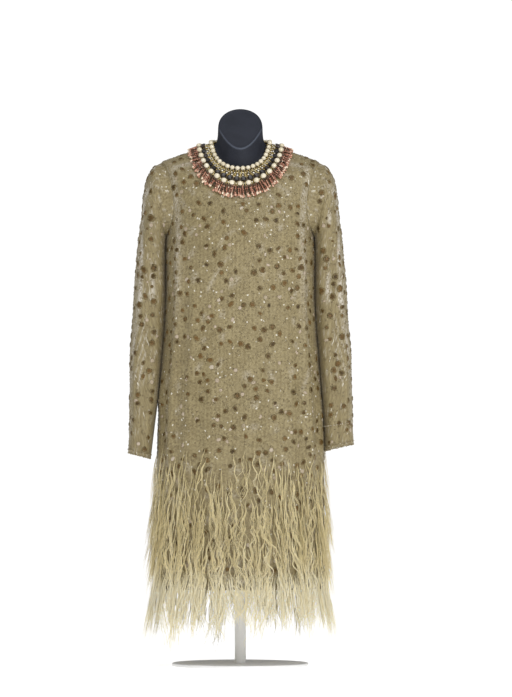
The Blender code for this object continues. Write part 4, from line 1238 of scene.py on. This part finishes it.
closure = {"top": 1.070, "foot": 0.702, "pitch": 2.0 * mm, "coilAway": 0.55 * mm, "backRadius": 0.10}


# coil of the zip: small slanting beads in pairs down the centre back, and a slider with a drop-shaped pull
def makeZip():
    level = np.arange(closure["foot"], closure["top"], closure["pitch"])
    parts = []
    coil = turnedShape([(0, -1), (0.8, -0.7), (0.8, 0.7), (0, 1)], 5)
    for side in (-1, 1):
        angle = math.pi / 2 + side * closure["coilAway"] / closure["backRadius"]
        raised = level + (0.5 * closure["pitch"] if side > 0 else 0)
        place, out, around, up = dressFrame(raised, np.full(len(level), angle))
        stamped = stamp(coil, place + out * 2.3 * mm, out, up, around, np.array([0.55, 0.75, 1.3]) * mm)
        parts.append((stamped, np.full(len(level), 0.3)))
    addBeads("zip_coil", parts, zipTape)
    place, out, around, up = dressFrame(np.array([closure["top"] - 0.004]), np.array([math.pi / 2]))
    body = turnedShape([(0, 0), (1.0, 0), (1.0, 0.6), (0.7, 1.0), (0, 1.0)], 16)
    pull = turnedShape([(0, 0), (0.9, 0), (1.0, 0.4), (0.9, 0.9), (0, 1.0)], 20)
    slider = stamp(body, place + out * 1.9 * mm, around, up, out, np.array([2.6, 4.6, 2.0]) * mm)
    tab = stamp(pull, place + out * 3.6 * mm - up * 12 * mm, around, up, out, np.array([2.4, 9.0, 1.1]) * mm)
    addBeads("zip_slider", [(slider, np.array([0.4])), (tab, np.array([0.6]))], goldWire)


makeZip()


# stage: matt white floor that fades into the white around it
def makeStage():
    material, tree = newTree("white_floor")
    cloud = noise(tree, objectPlace(tree), 1.25, 2.0)
    surfaced(material, {
        "Base Color": ramp(tree, cloud, (0.3, "f6f6f6"), (0.7, "fcfcfc")), "Roughness": 0.9,
        "Emission Color": (1, 1, 1, 1), "Emission Strength": 0.7})
    mesh = bpy.data.meshes.new("floor")
    mesh.from_pydata([(-20, -20, 0), (20, -20, 0), (20, 20, 0), (-20, 20, 0)], [], [(0, 1, 2, 3)])
    mesh.materials.append(material)
    floor = bpy.data.objects.new("floor", mesh)
    bpy.context.scene.collection.objects.link(floor)


makeStage()
world = bpy.data.worlds.new("studio")
bpy.context.scene.world = world
world.use_nodes = True
tree = world.node_tree
tree.nodes.clear()
seen = addNode(tree, "LightPath").outputs["Is Camera Ray"]  # white to the eye, soft on the dress
glow = ranged(tree, seen, 0.0, 1.0, 0.35, 1.05)
sky = addNode(tree, "Background", {"Color": (1, 1, 1, 1), "Strength": glow})
addNode(tree, "OutputWorld", {"Surface": sky.outputs[0]})


def addLight(name, place, towards, size, power):
    data = bpy.data.lights.new(name, "AREA")
    data.shape, data.size, data.energy = "DISK", size, power
    light = bpy.data.objects.new(name, data)
    bpy.context.scene.collection.objects.link(light)
    away = np.array(place, float) - np.array(towards, float)
    light.location = place
    light.rotation_euler = (math.atan2(math.hypot(away[0], away[1]), away[2]), 0,
                            math.atan2(away[0], -away[1]))


addLight("key", (2.0, -3.0, 2.9), (0, 0, 0.7), 1.5, 57)
addLight("top", (-0.4, -1.0, 3.4), (0, 0, 1.0), 1.5, 15)
addLight("fill", (0.5, -3.0, 0.35), (0, 0, 0.3), 1.2, 7)

# far camera square to the front, with the whole picture's height at the dress stated in metres
camera = bpy.data.objects.new("camera", bpy.data.cameras.new("camera"))
bpy.context.scene.collection.objects.link(camera)
distance, fieldHeight = 14.0, 1.533
camera.data.lens = camera.data.sensor_width * distance / fieldHeight
camera.location = (0.0345, -distance, 0.699)
camera.rotation_euler = (math.radians(90), 0, 0)
camera.data.clip_end = 100
bpy.context.scene.camera = camera
bpy.context.scene.view_settings.view_transform = "Standard"
